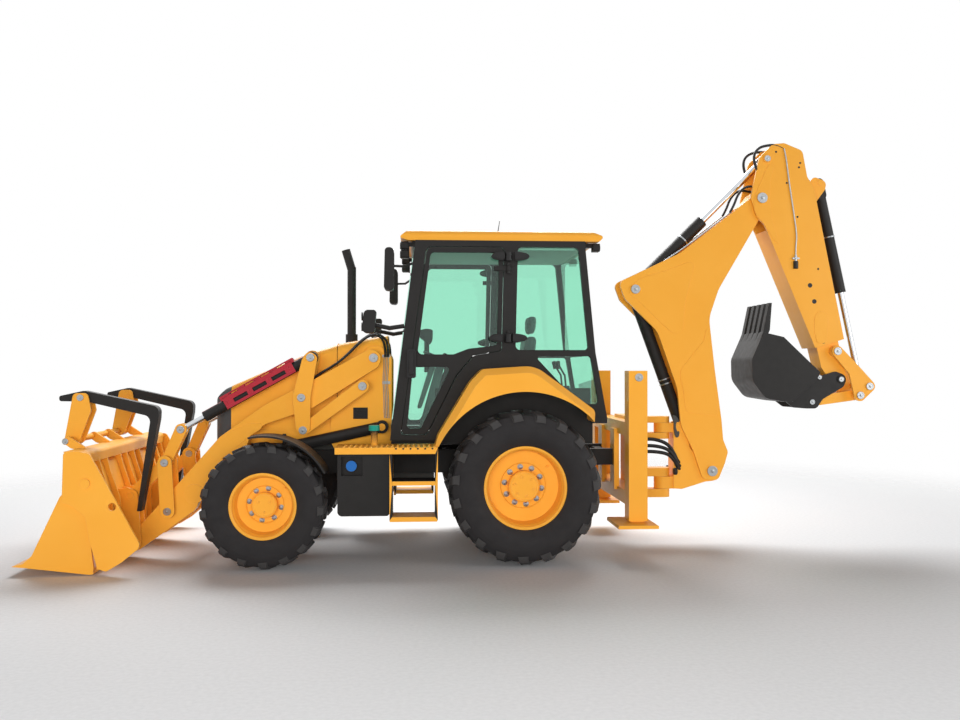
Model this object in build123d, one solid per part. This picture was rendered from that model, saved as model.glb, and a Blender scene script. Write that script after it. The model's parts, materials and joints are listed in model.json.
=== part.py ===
from build123d import *
import math
import os

# A backhoe loader with a clamshell loader bucket, fold-over forks and a side-shift backhoe.
# X runs forward from the rear axle, Y to the left, Z up from the ground, all in mm.
# The finished parts are moved along X so that the origin lies under the middle of the length.

# Running gear
WHEELBASE = 2200
FRONT_GAUGE = 1894
REAR_GAUGE = 1726
FRONT_TYRE_RADIUS = 528
FRONT_TYRE_WIDTH = 340
FRONT_RIM_RADIUS = 280
REAR_TYRE_RADIUS = 660
REAR_TYRE_WIDTH = 490
REAR_RIM_RADIUS = 356
KINGPIN_Y = 800
KINGPIN_RADIUS = 32
PIN_GAP = 0.3

# Chassis
RAIL_INNER_Y = 240
RAIL_OUTER_Y = 320
RAIL_TOP = 930
RAIL_BOTTOM = 720
FRAME_FRONT_X = WHEELBASE + 540
FRAME_REAR_X = -900
TOWER_INNER_Y = 338
TOWER_OUTER_Y = 386
HOOD_HALF_WIDTH = 325
ENGINE_BOTTOM = 762
EXHAUST_X = 1555
EXHAUST_Y = -255
HOOD_HINGE = (1647, 1899)

# Loader linkage pins, each an (X, Z) place with the bucket flat on the ground
LIFT_PIVOT = (1310, 1771)
LOWER_LINK_PIVOT = (1407, 1518)
BELLCRANK_PIVOT = (1944, 1417)
BELLCRANK_TOP = (1865, 1773)
BELLCRANK_FOOT = (1929, 1128)
LEVER_TOP = (3005, 1136)
LEVER_PIVOT = (3132, 848)
SHORT_LINK_FOOT = (3106, 421)
BUCKET_HINGE = (3407, 130)
LEVER_FOOT = (
    LEVER_PIVOT[0] + BUCKET_HINGE[0] - SHORT_LINK_FOOT[0],
    LEVER_PIVOT[1] + BUCKET_HINGE[1] - SHORT_LINK_FOOT[1],
)
CROSS_TUBE = (2887, 567)
CROSS_TUBE_RADIUS = 86
LIFT_BASE = (1235, 1150)
LIFT_EYE = (2540, 870)

# Layers of the loader linkage across the machine, distances from the middle plane
ARM_Y = 450
ARM_WIDTH = 110
ARM_PLATE = 20
LEVER_PLATE = 18
SIDE_PLATE = 20
SIDE_PLATE_GAP = 7
LINK_LAYER_GAP = 6
LIFT_BARREL_RADIUS = 52
LIFT_ROD_RADIUS = 28
TILT_BARREL_RADIUS = 48
TILT_ROD_RADIUS = 25
PIN_RADIUS = 32

# Loader bucket
BUCKET_HALF_WIDTH = 1200
CLAM_PIVOT = (3592, 747)
BUCKET_TOP_Z = 1005
LIFT_HOLE = (3379, 557)
LIFT_HOLE_RADIUS = 32
CUTTING_EDGE_X = 4181
CUTTING_EDGE_Z = 78
FORK_BAR = (3870, 1062)
FORK_TINE_PIN = (3800, 1425)
FORK_Y = 635
FORK_WIDTH = 100

# Cab
CAB_HALF_WIDTH = 720
CAB_WALL = 52
CAB_FLOOR_Z = 1046
CAB_SIDE_TOP_Z = 2806
ROOF_TOP_Z = 2895
ARCH_RADIUS = 832
GLASS = 8
DOOR_GAP = 6
DOOR_HINGE = (118, 742)
DOOR_HINGE_HEIGHTS = (1960, 2560)

# Backhoe
SWING_X = -1445
STABILIZER_X = -1010
STABILIZER_Y = 785
STABILIZER_SIZE = 166
BOOM_FOOT = (-1902, 695)
BOOM_RAM_BASE = (-1640, 1115)
BOOM_LUG = (-1159, 2433)
STICK_PIVOT = (-2388, 3315)
STICK_LUG = (-2440, 3695)
ROCKER_PIN = (-3119, 1843)
ROCKER_RAM_PIN = (-3433, 1505)
ROCKER_LINK_PIN = (-3341, 1418)
BUCKET_PIN = (-3171, 1573)
BUCKET_LINK_PIN = (-2888, 1353)
BUCKET_RAM_BASE = (-3005, 3491)
STICK_AXIS = (-0.225, -0.974)
BOOM_HALF_WIDTH = 130
STICK_HALF_WIDTH = 160
STICK_CAVITY = 136
INNER_STICK_HALF = 112
HOE_BUCKET_HALF = 300
ROCKER_END = 56
RAM_LUG_HALF = 76

SHIFT_X = -(CUTTING_EDGE_X + ROCKER_RAM_PIN[0] - ROCKER_END) / 2


# Drawing helpers. A profile lies in the X-Z plane and a slab gives it a width along Y.

def corner_cut(before, corner, after, radius):
    """Ends and middle of the arc that rounds one corner of an outline."""
    to_before = (before[0] - corner[0], before[1] - corner[1])
    to_after = (after[0] - corner[0], after[1] - corner[1])
    len_before = math.hypot(*to_before)
    len_after = math.hypot(*to_after)
    unit_before = (to_before[0] / len_before, to_before[1] / len_before)
    unit_after = (to_after[0] / len_after, to_after[1] / len_after)
    cosine = unit_before[0] * unit_after[0] + unit_before[1] * unit_after[1]
    half = math.acos(max(-1.0, min(1.0, cosine))) / 2
    setback = radius / math.tan(half)
    start = (corner[0] + unit_before[0] * setback, corner[1] + unit_before[1] * setback)
    end = (corner[0] + unit_after[0] * setback, corner[1] + unit_after[1] * setback)
    bisector = (unit_before[0] + unit_after[0], unit_before[1] + unit_after[1])
    length = math.hypot(*bisector)
    reach = radius / math.sin(half) - radius
    middle = (corner[0] + bisector[0] / length * reach, corner[1] + bisector[1] / length * reach)
    return start, middle, end


def profile(points):
    """Closed outline through (x, z) points; a third number rounds that corner."""
    edges = []
    ends = []
    count = len(points)
    for i in range(count):
        corner = points[i]
        radius = corner[2] if len(corner) > 2 else 0
        if radius > 0:
            start, middle, end = corner_cut(points[i - 1], corner, points[(i + 1) % count], radius)
            edges.append(ThreePointArc(start, middle, end))
        else:
            start = end = (corner[0], corner[1])
        ends.append((start, end))
    for i in range(count):
        leave = ends[i][1]
        reach = ends[(i + 1) % count][0]
        if math.dist(leave, reach) > 1e-6:
            edges.append(Line(leave, reach))
    return make_face(edges)


def slab(face, y_low, y_high):
    """Profile given a width from y_low to y_high."""
    return Pos(0, y_high, 0) * extrude(Plane.XZ * face, y_high - y_low)


def plate(points, y_low, y_high):
    return slab(profile(points), y_low, y_high)


def bar_face(start, start_radius, end, end_radius):
    """Outline of a link: two round ends and their common tangents."""
    span = math.dist(start, end)
    heading = math.atan2(end[1] - start[1], end[0] - start[0])
    swing = math.acos((start_radius - end_radius) / span)

    def rim(centre, radius, angle):
        return (centre[0] + radius * math.cos(angle), centre[1] + radius * math.sin(angle))

    start_left = rim(start, start_radius, heading + swing)
    start_right = rim(start, start_radius, heading - swing)
    end_left = rim(end, end_radius, heading + swing)
    end_right = rim(end, end_radius, heading - swing)
    return make_face([
        Line(start_left, end_left),
        ThreePointArc(end_left, rim(end, end_radius, heading), end_right),
        Line(end_right, start_right),
        ThreePointArc(start_right, rim(start, start_radius, heading + math.pi), start_left),
    ])


def link(start, start_radius, end, end_radius, y_low, y_high):
    return slab(bar_face(start, start_radius, end, end_radius), y_low, y_high)


def pin(place, radius, y_low, y_high):
    """Round bar along Y at an (x, z) place."""
    return Pos(place[0], (y_low + y_high) / 2, place[1]) * Rot(90, 0, 0) * Cylinder(radius, y_high - y_low)


def rod(start, end, radius, y=0):
    """Round bar between two (x, z) places in one plane across the machine."""
    axis = Vector(end[0] - start[0], 0, end[1] - start[1])
    base = Plane(origin=(start[0], y, start[1]), x_dir=(0, 1, 0), z_dir=axis)
    return extrude(base * Circle(radius), axis.length)


def block(x_low, x_high, y_low, y_high, z_low, z_high):
    centre = Pos((x_low + x_high) / 2, (y_low + y_high) / 2, (z_low + z_high) / 2)
    return centre * Box(x_high - x_low, y_high - y_low, z_high - z_low)


def along(start, end, distance):
    """Place at a distance from start towards end."""
    span = math.dist(start, end)
    return (
        start[0] + (end[0] - start[0]) * distance / span,
        start[1] + (end[1] - start[1]) * distance / span,
    )


def other_side(shape):
    return mirror(shape, Plane.XZ)


def both_sides(shape):
    return shape + other_side(shape)


def stick_place(up, rear):
    """Place given along the stick from the bucket pin, and rearward of its line."""
    return (
        BUCKET_PIN[0] - STICK_AXIS[0] * up + STICK_AXIS[1] * rear,
        BUCKET_PIN[1] - STICK_AXIS[1] * up - STICK_AXIS[0] * rear,
    )


# Wheels

def wheel_section(points):
    """Face through (y, r) points, placed so that it can be turned about the Y axis."""
    flat = make_face(Polyline(*points, close=True))
    return Plane(origin=(0, 0, 0), x_dir=(0, 1, 0), z_dir=(1, 0, 0)) * flat


def flat_ring(loop, sides):
    """Ring about the Y axis with flat facets, from a closed loop of (y, distance to the flats)."""
    step = 2 * math.pi / sides

    def corner(y, flat, index):
        reach = flat / math.cos(step / 2)
        angle = (index + 0.5) * step
        return Vector(reach * math.sin(angle), y, reach * math.cos(angle))

    facets = []
    for (y_a, flat_a), (y_b, flat_b) in zip(loop, loop[1:] + loop[:1]):
        for i in range(sides):
            facets.append(Face(Wire.make_polygon([
                corner(y_a, flat_a, i), corner(y_a, flat_a, i + 1),
                corner(y_b, flat_b, i + 1), corner(y_b, flat_b, i),
            ])))
    return Solid(Shell(facets))


def tyre(radius, width, rim_radius, lug_count, lug_height):
    """Tyre about the Y axis: a flat-sided carcass, which keeps its faces few, under two staggered rows of lugs."""
    half = width / 2
    base = radius - lug_height
    bead = half * 0.72
    belly = rim_radius + 0.55 * (base - rim_radius)
    side = [(bead, rim_radius), (half, belly), (half * 0.76, base)]
    carcass = flat_ring([(-y, flat) for y, flat in side] + [(y, flat) for y, flat in reversed(side)], lug_count)
    slant = 0.36 * half
    crown = (radius ** 2 - slant ** 2) ** 0.5
    skirt = 0.80 * radius
    inner_width = 0.16 * half + 16
    outer_width = 0.16 * half + 34
    outline = make_face(Polyline(
        (slant - inner_width, 0), (slant, 0), (outer_width - slant, half), (-slant, half), close=True,
    ))
    bar = extrude(Plane.XY.offset(skirt) * outline, radius - skirt)
    contour = make_face(Polyline(
        (0, skirt), (0, crown), (half * 0.66, crown - 3), (half * 0.93, crown - 0.75 * lug_height),
        (half * 0.985, skirt), close=True,
    ))
    lug = bar & extrude(Plane(origin=(0, 0, 0), x_dir=(0, 1, 0), z_dir=(1, 0, 0)) * contour, radius, both=True)
    pitch = 360 / lug_count
    lugs = [Rot(0, i * pitch, 0) * lug for i in range(lug_count)]
    lugs += [Rot(0, (i + 0.5) * pitch, 0) * mirror(lug, Plane.XZ) for i in range(lug_count)]
    lowest_corner = math.degrees(math.asin(slant / radius))
    return Rot(0, -lowest_corner, 0) * (carcass + lugs)


def rim(rim_radius, width, dish, hub_radius, hub_reach):
    """Steel wheel about the Y axis: flanges, stepped well, dished disc and the hub cap in its middle."""
    half = width * 0.36
    well = rim_radius - 38
    face = half - dish
    disc = hub_radius * 1.5
    return revolve(wheel_section([
        (half, rim_radius), (half + 4, rim_radius - 14), (half - 6, rim_radius - 26), (half - 22, rim_radius - 28),
        (half - 40, well), (face + 34, well - 14), (face + 14, disc), (face, disc - 12), (face, hub_radius),
        (face + hub_reach - 10, hub_radius), (face + hub_reach, hub_radius - 12), (face + hub_reach, 0),
        (face - 26, 0), (face - 26, well - 26), (-half, well - 10), (-half, rim_radius),
    ]), Axis.Y, 360)


FRONT_DISH = 150
REAR_DISH = 200
FRONT_HUB = 108
REAR_HUB = 134
FRONT_LUGS = 17
REAR_LUGS = 19
FRONT_LUG_HEIGHT = 30
REAR_LUG_HEIGHT = 38


def front_wheel_place(side):
    return Pos(WHEELBASE, side * FRONT_GAUGE / 2, FRONT_TYRE_RADIUS)


def rear_wheel_place(side):
    return Pos(0, side * REAR_GAUGE / 2, REAR_TYRE_RADIUS)


def face_out(side):
    return Rot(0, 0, 0) if side > 0 else Rot(0, 0, 180)


def front_tyre(side):
    rubber = front_wheel_place(1) * tyre(
        FRONT_TYRE_RADIUS, FRONT_TYRE_WIDTH, FRONT_RIM_RADIUS, FRONT_LUGS, FRONT_LUG_HEIGHT)
    return rubber if side > 0 else other_side(rubber)


def front_rim(side):
    wheel = rim(FRONT_RIM_RADIUS, FRONT_TYRE_WIDTH, FRONT_DISH, FRONT_HUB, 74)
    return front_wheel_place(side) * face_out(side) * wheel


def rear_tyre(side):
    rubber = rear_wheel_place(1) * tyre(
        REAR_TYRE_RADIUS, REAR_TYRE_WIDTH, REAR_RIM_RADIUS, REAR_LUGS, REAR_LUG_HEIGHT)
    return rubber if side > 0 else other_side(rubber)


def rear_rim(side):
    wheel = rim(REAR_RIM_RADIUS, REAR_TYRE_WIDTH, REAR_DISH, REAR_HUB, 96)
    return rear_wheel_place(side) * face_out(side) * wheel


def rim_back_y(gauge, width, dish):
    """Distance from the middle plane to the back of a wheel's disc."""
    return gauge / 2 + width * 0.36 - dish - 26


def axles():
    """Front beam with its kingpin yokes, and rear housing with its wheel ends."""
    front_z = FRONT_TYRE_RADIUS
    beam = pin((WHEELBASE, front_z), 78, -660, 660)
    diff = Pos(WHEELBASE, 0, front_z) * Sphere(150)
    saddle = block(WHEELBASE - 110, WHEELBASE + 110, -RAIL_OUTER_Y, RAIL_OUTER_Y, front_z + 110, RAIL_BOTTOM)
    saddle += block(WHEELBASE - 90, WHEELBASE + 90, -180, 180, front_z + 40, front_z + 120)
    yoke_reach = KINGPIN_Y + 48
    yoke = block(WHEELBASE - 48, WHEELBASE + 48, 600, yoke_reach, front_z + 100, front_z + 140)
    yoke += block(WHEELBASE - 48, WHEELBASE + 48, 600, yoke_reach, front_z - 140, front_z - 100)
    yoke += block(WHEELBASE - 60, WHEELBASE + 60, 600, 660, front_z - 140, front_z + 140)
    for z in (front_z + 120, front_z - 120):
        yoke -= Pos(WHEELBASE, KINGPIN_Y, z) * Cylinder(KINGPIN_RADIUS + PIN_GAP, 60)
    front = beam + diff + saddle + both_sides(yoke)
    rear_z = REAR_TYRE_RADIUS
    wheel_end = rim_back_y(REAR_GAUGE, REAR_TYRE_WIDTH, REAR_DISH) - PIN_GAP
    housing = pin((0, rear_z), 110, -560, 560)
    housing += pin((0, rear_z), 150, 500, wheel_end) + pin((0, rear_z), 150, -wheel_end, -500)
    housing += Pos(0, 0, rear_z) * Sphere(190)
    housing += both_sides(block(-120, 120, RAIL_INNER_Y, RAIL_OUTER_Y, rear_z, RAIL_BOTTOM + 60))
    return front + housing


def knuckle(side):
    """Steering knuckle between the yoke arms, with its stub axle and the mudguard it carries."""
    front_z = FRONT_TYRE_RADIUS
    disc_back = rim_back_y(FRONT_GAUGE, FRONT_TYRE_WIDTH, FRONT_DISH) - PIN_GAP
    body = block(WHEELBASE - 46, WHEELBASE + 46, KINGPIN_Y - 46, disc_back - 30, front_z - 94, front_z + 94)
    body += pin((WHEELBASE, front_z), 70, KINGPIN_Y, disc_back)
    body += Pos(WHEELBASE, KINGPIN_Y, front_z) * Cylinder(KINGPIN_RADIUS, 300)
    bracket_top = FRONT_TYRE_RADIUS + FRONT_TYRE_RADIUS + 60
    guard_y = KINGPIN_Y - 46
    post = block(WHEELBASE - 152, WHEELBASE - 122, guard_y, guard_y + 16, front_z - 40, bracket_top - 4)
    post += block(WHEELBASE - 152, WHEELBASE, guard_y, guard_y + 16, front_z - 40, front_z + 40)
    guard_in = FRONT_TYRE_RADIUS + 45
    guard = make_face([
        CenterArc((WHEELBASE, front_z), guard_in, 78, 74),
        Line(polar_place(guard_in, 152), polar_place(guard_in + 16, 152)),
        CenterArc((WHEELBASE, front_z), guard_in + 16, 78, 74),
        Line(polar_place(guard_in + 16, 78), polar_place(guard_in, 78)),
    ])
    guard_solid = slab(guard, guard_y, FRONT_GAUGE / 2 + FRONT_TYRE_WIDTH / 2 - 30)
    whole = body + post + guard_solid
    return whole if side > 0 else other_side(whole)


def polar_place(radius, degrees):
    """Place on a circle about the front axle."""
    angle = math.radians(degrees)
    return (WHEELBASE + radius * math.cos(angle), FRONT_TYRE_RADIUS + radius * math.sin(angle))


# Chassis

def main_frame():
    """Rails, cross members, loader towers and their pins."""
    rail = plate([
        (FRAME_REAR_X, RAIL_BOTTOM + 60),
        (FRAME_REAR_X, RAIL_TOP),
        (FRAME_FRONT_X, RAIL_TOP),
        (FRAME_FRONT_X, RAIL_BOTTOM),
        (500, RAIL_BOTTOM),
        (300, RAIL_BOTTOM + 60),
    ], RAIL_INNER_Y, RAIL_OUTER_Y)
    frame = both_sides(rail)
    for x in (FRAME_REAR_X + 60, 640):
        frame += block(x - 40, x + 40, -RAIL_INNER_Y, RAIL_INNER_Y, RAIL_BOTTOM + 80, RAIL_TOP - 20)
    for x in (WHEELBASE - 300, WHEELBASE + 300):
        frame += block(x - 40, x + 40, -RAIL_INNER_Y, RAIL_INNER_Y, RAIL_BOTTOM, ENGINE_BOTTOM)
    frame += block(FRAME_FRONT_X - 90, FRAME_FRONT_X, -RAIL_OUTER_Y, RAIL_OUTER_Y, RAIL_BOTTOM - 60, RAIL_TOP)
    tower = plate([
        (1150, RAIL_BOTTOM + 40),
        (1150, 1790, 90),
        (1250, 1880, 40),
        (1370, 1880, 70),
        (1440, 1700, 60),
        (1700, 1330, 80),
        (1700, 1010, 30),
        (1560, RAIL_BOTTOM + 40),
    ], TOWER_INNER_Y, TOWER_OUTER_Y)
    tower += block(1180, 1540, RAIL_INNER_Y, TOWER_INNER_Y + 10, RAIL_BOTTOM + 60, RAIL_TOP)
    arm_outer = ARM_Y + ARM_WIDTH / 2
    tower += pin(LIFT_PIVOT, 44, TOWER_INNER_Y, arm_outer + 6)
    tower += pin(LOWER_LINK_PIVOT, 28, TOWER_INNER_Y, arm_outer + 36)
    tower += pin(LIFT_BASE, PIN_RADIUS, TOWER_INNER_Y, arm_outer)
    return frame + both_sides(tower)


def engine():
    """Engine and gearbox as one plain block, with the exhaust stack on the right."""
    block_solid = block(1560, 2440, -215, 215, ENGINE_BOTTOM, 1440)
    block_solid += block(760, 1560, -180, 180, 640, 985)
    return block_solid


def exhaust():
    """Upright stack on the right of the hood, its outlet swept back."""
    y = EXHAUST_Y
    stack = Pos(EXHAUST_X, y, 2060) * Cylinder(42, 1210)
    stack += Pos(EXHAUST_X, y, 1930) * Cylinder(58, 160)
    stack += block(EXHAUST_X - 40, EXHAUST_X + 45, y, -200, 1440, 1500)
    outlet = Plane(origin=(EXHAUST_X, y, 2640), x_dir=(0, 1, 0), z_dir=(0.3, 0, 1)) * Circle(42)
    stack += extrude(outlet, 200)
    return stack


HOOD_LINE = [(1190, 1983), (1610, 1906), (1925, 1809), (2306, 1648), (2600, 1520)]
NOSE_X = 2742
HOOD_SKIN = 14
HOOD_SHOULDER = 70


HOOD_SPLIT_X = 1650
HOOD_BOTTOM = 1000


def hood_shell():
    """The whole engine cover as one skin, open below and at both ends."""
    top = [(x, z) for x, z in HOOD_LINE]
    outer = slab(profile([(top[0][0], HOOD_BOTTOM)] + top + [(top[-1][0], HOOD_BOTTOM)]),
                 -HOOD_HALF_WIDTH, HOOD_HALF_WIDTH)
    outer = fillet(shoulder_edges(outer, HOOD_HALF_WIDTH), HOOD_SHOULDER)
    low = [(x, z - HOOD_SKIN) for x, z in HOOD_LINE]
    low[0] = (low[0][0] - 5, low[0][1])
    low[-1] = (low[-1][0] + 5, low[-1][1])
    inner = slab(profile([(low[0][0], HOOD_BOTTOM - 5)] + low + [(low[-1][0], HOOD_BOTTOM - 5)]),
                 -HOOD_HALF_WIDTH + HOOD_SKIN, HOOD_HALF_WIDTH - HOOD_SKIN)
    inner = fillet(shoulder_edges(inner, HOOD_HALF_WIDTH - HOOD_SKIN), HOOD_SHOULDER - HOOD_SKIN)
    return outer - inner


def shoulder_edges(solid, half_width):
    """The long sloping edges along both sides of the hood's top."""
    return [edge for edge in solid.edges()
            if abs(abs(edge.center().Y) - half_width) < 1 and abs(edge.tangent_at(0.5).X) > 0.5
            and edge.center().Z > HOOD_BOTTOM + 200]


def hood():
    """Tilting hood over the engine, hinged at its rear edge."""
    cover = hood_shell() & block(HOOD_SPLIT_X, 2700, -500, 500, 900, 2100)
    cover -= both_sides(pin(HOOD_HINGE, 13, 120, 186))
    cover += pin(HOOD_HINGE, 9, -120, 120)
    return cover - pin(HOOD_HINGE, 4 + PIN_GAP, -200, 200)


def rear_cowl():
    """Fixed cover between the cab and the hood, with the hole for the exhaust stack."""
    cover = hood_shell() & block(1100, HOOD_SPLIT_X - 6, -500, 500, 900, 2100)
    cover -= Pos(EXHAUST_X, EXHAUST_Y, 1900) * Cylinder(64, 400)
    cover -= pin(HOOD_HINGE, 13, -124, 124)
    cover += both_sides(pin(HOOD_HINGE, 9, 124, 182))
    cover += both_sides(block(1300, 1420, HOOD_HALF_WIDTH - 5, TOWER_INNER_Y, 1480, 1560))
    return cover + pin(HOOD_HINGE, 4, -182, 182)


NOSE_CORNER = 95
NOSE_FALL = -0.42
GRILLE_SLATS = 9
GRILLE_PITCH = 34
GRILLE_LOW = 1040


def grille():
    """Nose cowl in front of the hood, standing on the frame, with rounded corners and a slatted mouth."""
    start = HOOD_LINE[4][0]
    nose = plate([
        (start, RAIL_TOP),
        (start, 1516),
        (2650, 1492, 60),
        (NOSE_X, 1400, 80),
        (NOSE_X, RAIL_TOP + 40),
        (NOSE_X - 60, RAIL_TOP + 40),
        (NOSE_X - 60, RAIL_TOP),
    ], -HOOD_HALF_WIDTH, HOOD_HALF_WIDTH)
    depth = NOSE_X - start
    plan = Pos(NOSE_X - 300, 0, RAIL_TOP) * extrude(RectangleRounded(600, 2 * HOOD_HALF_WIDTH, NOSE_CORNER), 700)
    height = 2 * (HOOD_LINE[4][1] - RAIL_TOP)
    section = Plane(origin=(start, 0, RAIL_TOP), x_dir=(0, 1, 0), z_dir=(1, 0, 0)) * RectangleRounded(
        2 * HOOD_HALF_WIDTH, height, HOOD_SHOULDER)
    nose = nose & plan & extrude(section, 2 * depth, dir=(1, 0, NOSE_FALL))
    mouth_top = GRILLE_LOW + GRILLE_SLATS * GRILLE_PITCH
    nose -= block(NOSE_X - 60, NOSE_X + 1, -220, 220, GRILLE_LOW, mouth_top)
    for i in range(GRILLE_SLATS):
        z = GRILLE_LOW + (i + 0.5) * GRILLE_PITCH
        nose += plate([
            (NOSE_X - 62, z - 2), (NOSE_X - 62, z + 12), (NOSE_X - 14, z - 4), (NOSE_X - 14, z - 12),
        ], -222, 222)
    return nose


def side_tanks():
    """Fuel tank on the left and its twin box on the right, each with steps and a walking plate."""
    outer = 1000
    inner = 430
    tank = plate([(1590, 430, 40), (1590, 960, 30), (1150, 960), (1150, 430, 30)], inner, outer)
    tank += block(1200, 1540, RAIL_OUTER_Y, inner, RAIL_BOTTOM + 5, RAIL_BOTTOM + 34)
    cheek = block(1130, 1152, inner + 150, outer + 40, 395, 960)
    cheek += block(745, 767, inner + 330, outer + 40, 395, 990)
    steps = block(750, 1150, inner + 330, outer + 40, 385, 425)
    steps += block(750, 1150, inner + 330, outer + 40, 690, 725)
    deck = block(745, 1610, inner + 200, outer + 40, 955, DECK_Z)
    pair = both_sides(tank + cheek + steps + deck)
    pair -= block(1379, 1559, outer - 60, outer + 1, 770, 930)
    pair += Pos(1475, outer - 45, 850) * Rot(90, 0, 0) * Cylinder(45, 36)
    neck = Pos(FILLER_X, FILLER_Y, DECK_Z + 55) * Cylinder(30, 150)
    cap = Pos(FILLER_X, FILLER_Y, DECK_Z + 152) * Cylinder(48, 46)
    return pair + neck + cap


DECK_Z = 1010
FILLER_X = 1290
FILLER_Y = 800


def cab_side_points():
    """Outline of the cab's side above the wheel arch, starting at the front foot."""
    return [
        (1157, CAB_FLOOR_Z),
        (935, CAB_SIDE_TOP_Z),
        (-567, CAB_SIDE_TOP_Z),
        (-662, 1817),
        (-766, 1242),
        (-766, 1190),
        (0, 1190),
        (752, CAB_FLOOR_Z),
    ]


def door_points(inset):
    """Door outline, hinged at its rear edge, drawn in by an even gap."""
    return [
        (1066 - inset, 1092 + inset, 30),
        (838 - inset, 2752 - inset, 60),
        (150 + inset, 2752 - inset, 40),
        (172 + inset, 1830 + inset, 40),
        (420 + inset, 1790 + inset, 60),
        (572 + inset, 1612 + inset, 100),
        (832 + inset, 1092 + inset, 60),
    ]


def cab_frame():
    """Open steel frame of the cab: two sides, cross beams, floor and rear tub."""
    side_low = CAB_HALF_WIDTH - CAB_WALL
    wall = plate(cab_side_points(), side_low, CAB_HALF_WIDTH)
    wall -= pin((0, REAR_TYRE_RADIUS), ARCH_RADIUS, side_low - 1, CAB_HALF_WIDTH + 1)
    wall -= plate(door_points(0), side_low - 1, CAB_HALF_WIDTH + 1)
    wall -= plate([
        (30, 2752, 40), (-510, 2752, 50), (-598, 1840, 30), (52, 1840, 40),
    ], side_low - 1, CAB_HALF_WIDTH + 1)
    wall -= plate([
        (-120, 1785, 20), (-618, 1785, 30), (-690, 1360, 30), (-520, 1360, 60),
    ], side_low - 1, CAB_HALF_WIDTH + 1)
    sides = both_sides(wall)
    cross = block(900, 960, -side_low, side_low, 2752, CAB_SIDE_TOP_Z)
    cross += block(-590, -540, -side_low, side_low, 2752, CAB_SIDE_TOP_Z)
    cross += block(-740, -690, -side_low, side_low, 1210, 1330)
    cross += block(1095, 1150, -side_low, side_low, CAB_FLOOR_Z, 1180)
    floor = block(-640, 1150, -590, 590, 1000, CAB_FLOOR_Z)
    tub = both_sides(block(-640, 760, 570, 590, 1000, 1500))
    tub += block(-660, -640, -590, 590, 1000, 1330)
    shelf = both_sides(block(-700, -640, 560, side_low + 5, 1210, 1300))
    cross += block(-662, -596, -side_low, side_low, REAR_SILL_Z - 27, REAR_SILL_Z)
    fittings = hinge_brackets() + mirror_head() + lamp_cluster() + work_lamps()
    return sides + cross + floor + tub + shelf + both_sides(fittings)


REAR_SILL_Z = 1817


def tube_along(points, radius):
    """Welded tube through (x, y, z) points, each run lapping the next at the bend."""
    solid = None
    for start, end in zip(points, points[1:]):
        axis = Vector(*end) - Vector(*start)
        run = Solid.make_cylinder(radius, axis.length + radius * 0.6, Plane(origin=start, z_dir=axis))
        solid = run if solid is None else solid + run
    return solid


def mirror_head():
    """Door mirror on its bent arm from the front post."""
    head = plate([(1118, 2340, 30), (1118, 2715, 40), (1196, 2705, 30), (1204, 2350, 30)], 790, 960)
    head -= plate([(1090, 2360), (1090, 2695), (1126, 2695), (1126, 2360)], 806, 944)
    arm = tube_along([(962, CAB_HALF_WIDTH - 20, 2600), (1040, 830, 2560), (1160, 875, 2560)], 11)
    return head + arm


def lamp_cluster():
    """Road lamps on a bracket ahead of the front post: two round lamps in one housing."""
    shell = plate([(1292, 1985, 20), (1275, 2185, 20), (1380, 2185, 40), (1402, 1985, 40)], 640, 800)
    for z in (2040, 2132):
        shell -= Plane(origin=(1420, 720, z), x_dir=(0, 1, 0), z_dir=(-1, 0, 0)) * extrude(Circle(38), 60)
    arm = tube_along([(1036, CAB_HALF_WIDTH - 25, 2050), (1160, 720, 2030), (1310, 720, 2060)], 20)
    return shell + arm


def work_lamps():
    """Two work lamps under the front brow and one under the rear brow, on flat brackets."""
    lamps = block(950, 1004, 580, 620, 2762, 2798) + block(990, 1004, 580, 620, 2650, 2798)
    for z in (2690, 2768):
        lamps += lamp_box(1000, 1064, 600, z)
    lamps += block(-662, -585, 580, 620, 2762, 2798) + lamp_box(-716, -656, 600, 2762)
    return lamps


def lamp_box(x_low, x_high, y, z):
    """Square lamp housing with rounded corners, seen along X."""
    face = Plane(origin=(x_low, y, z), x_dir=(0, 1, 0), z_dir=(1, 0, 0)) * RectangleRounded(110, 70, 16)
    return extrude(face, x_high - x_low)


def hinge_brackets():
    """Door hinge pins on the left post, each held by an eye above and below the door's sleeve."""
    solid = None
    for z in DOOR_HINGE_HEIGHTS:
        hinge = Pos(DOOR_HINGE[0], DOOR_HINGE[1], z) * Cylinder(8, 96)
        for eye_z in (z - 36, z + 36):
            hinge += Pos(DOOR_HINGE[0], DOOR_HINGE[1], eye_z) * Cylinder(16, 24)
            hinge += block(70, DOOR_HINGE[0], CAB_HALF_WIDTH - 2, CAB_HALF_WIDTH + 12, eye_z - 12, eye_z + 12)
        solid = hinge if solid is None else solid + hinge
    return solid


def cab_roof():
    """Moulded roof cap with its front and rear brows, rounded along both sides."""
    half = CAB_HALF_WIDTH - 10
    cap = plate([
        (1080, 2832, 12),
        (1006, ROOF_TOP_Z, 60),
        (-640, ROOF_TOP_Z, 60),
        (-746, 2850, 20),
        (-700, CAB_SIDE_TOP_Z, 10),
        (1000, CAB_SIDE_TOP_Z, 10),
    ], -half, half)
    section = Plane(origin=(-1000, 0, ROOF_TOP_Z - ROOF_ROUND * 3), x_dir=(0, 1, 0), z_dir=(1, 0, 0))
    return cap & extrude(section * RectangleRounded(2 * half, ROOF_ROUND * 6, ROOF_ROUND), 2500)


ROOF_ROUND = 48


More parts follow.
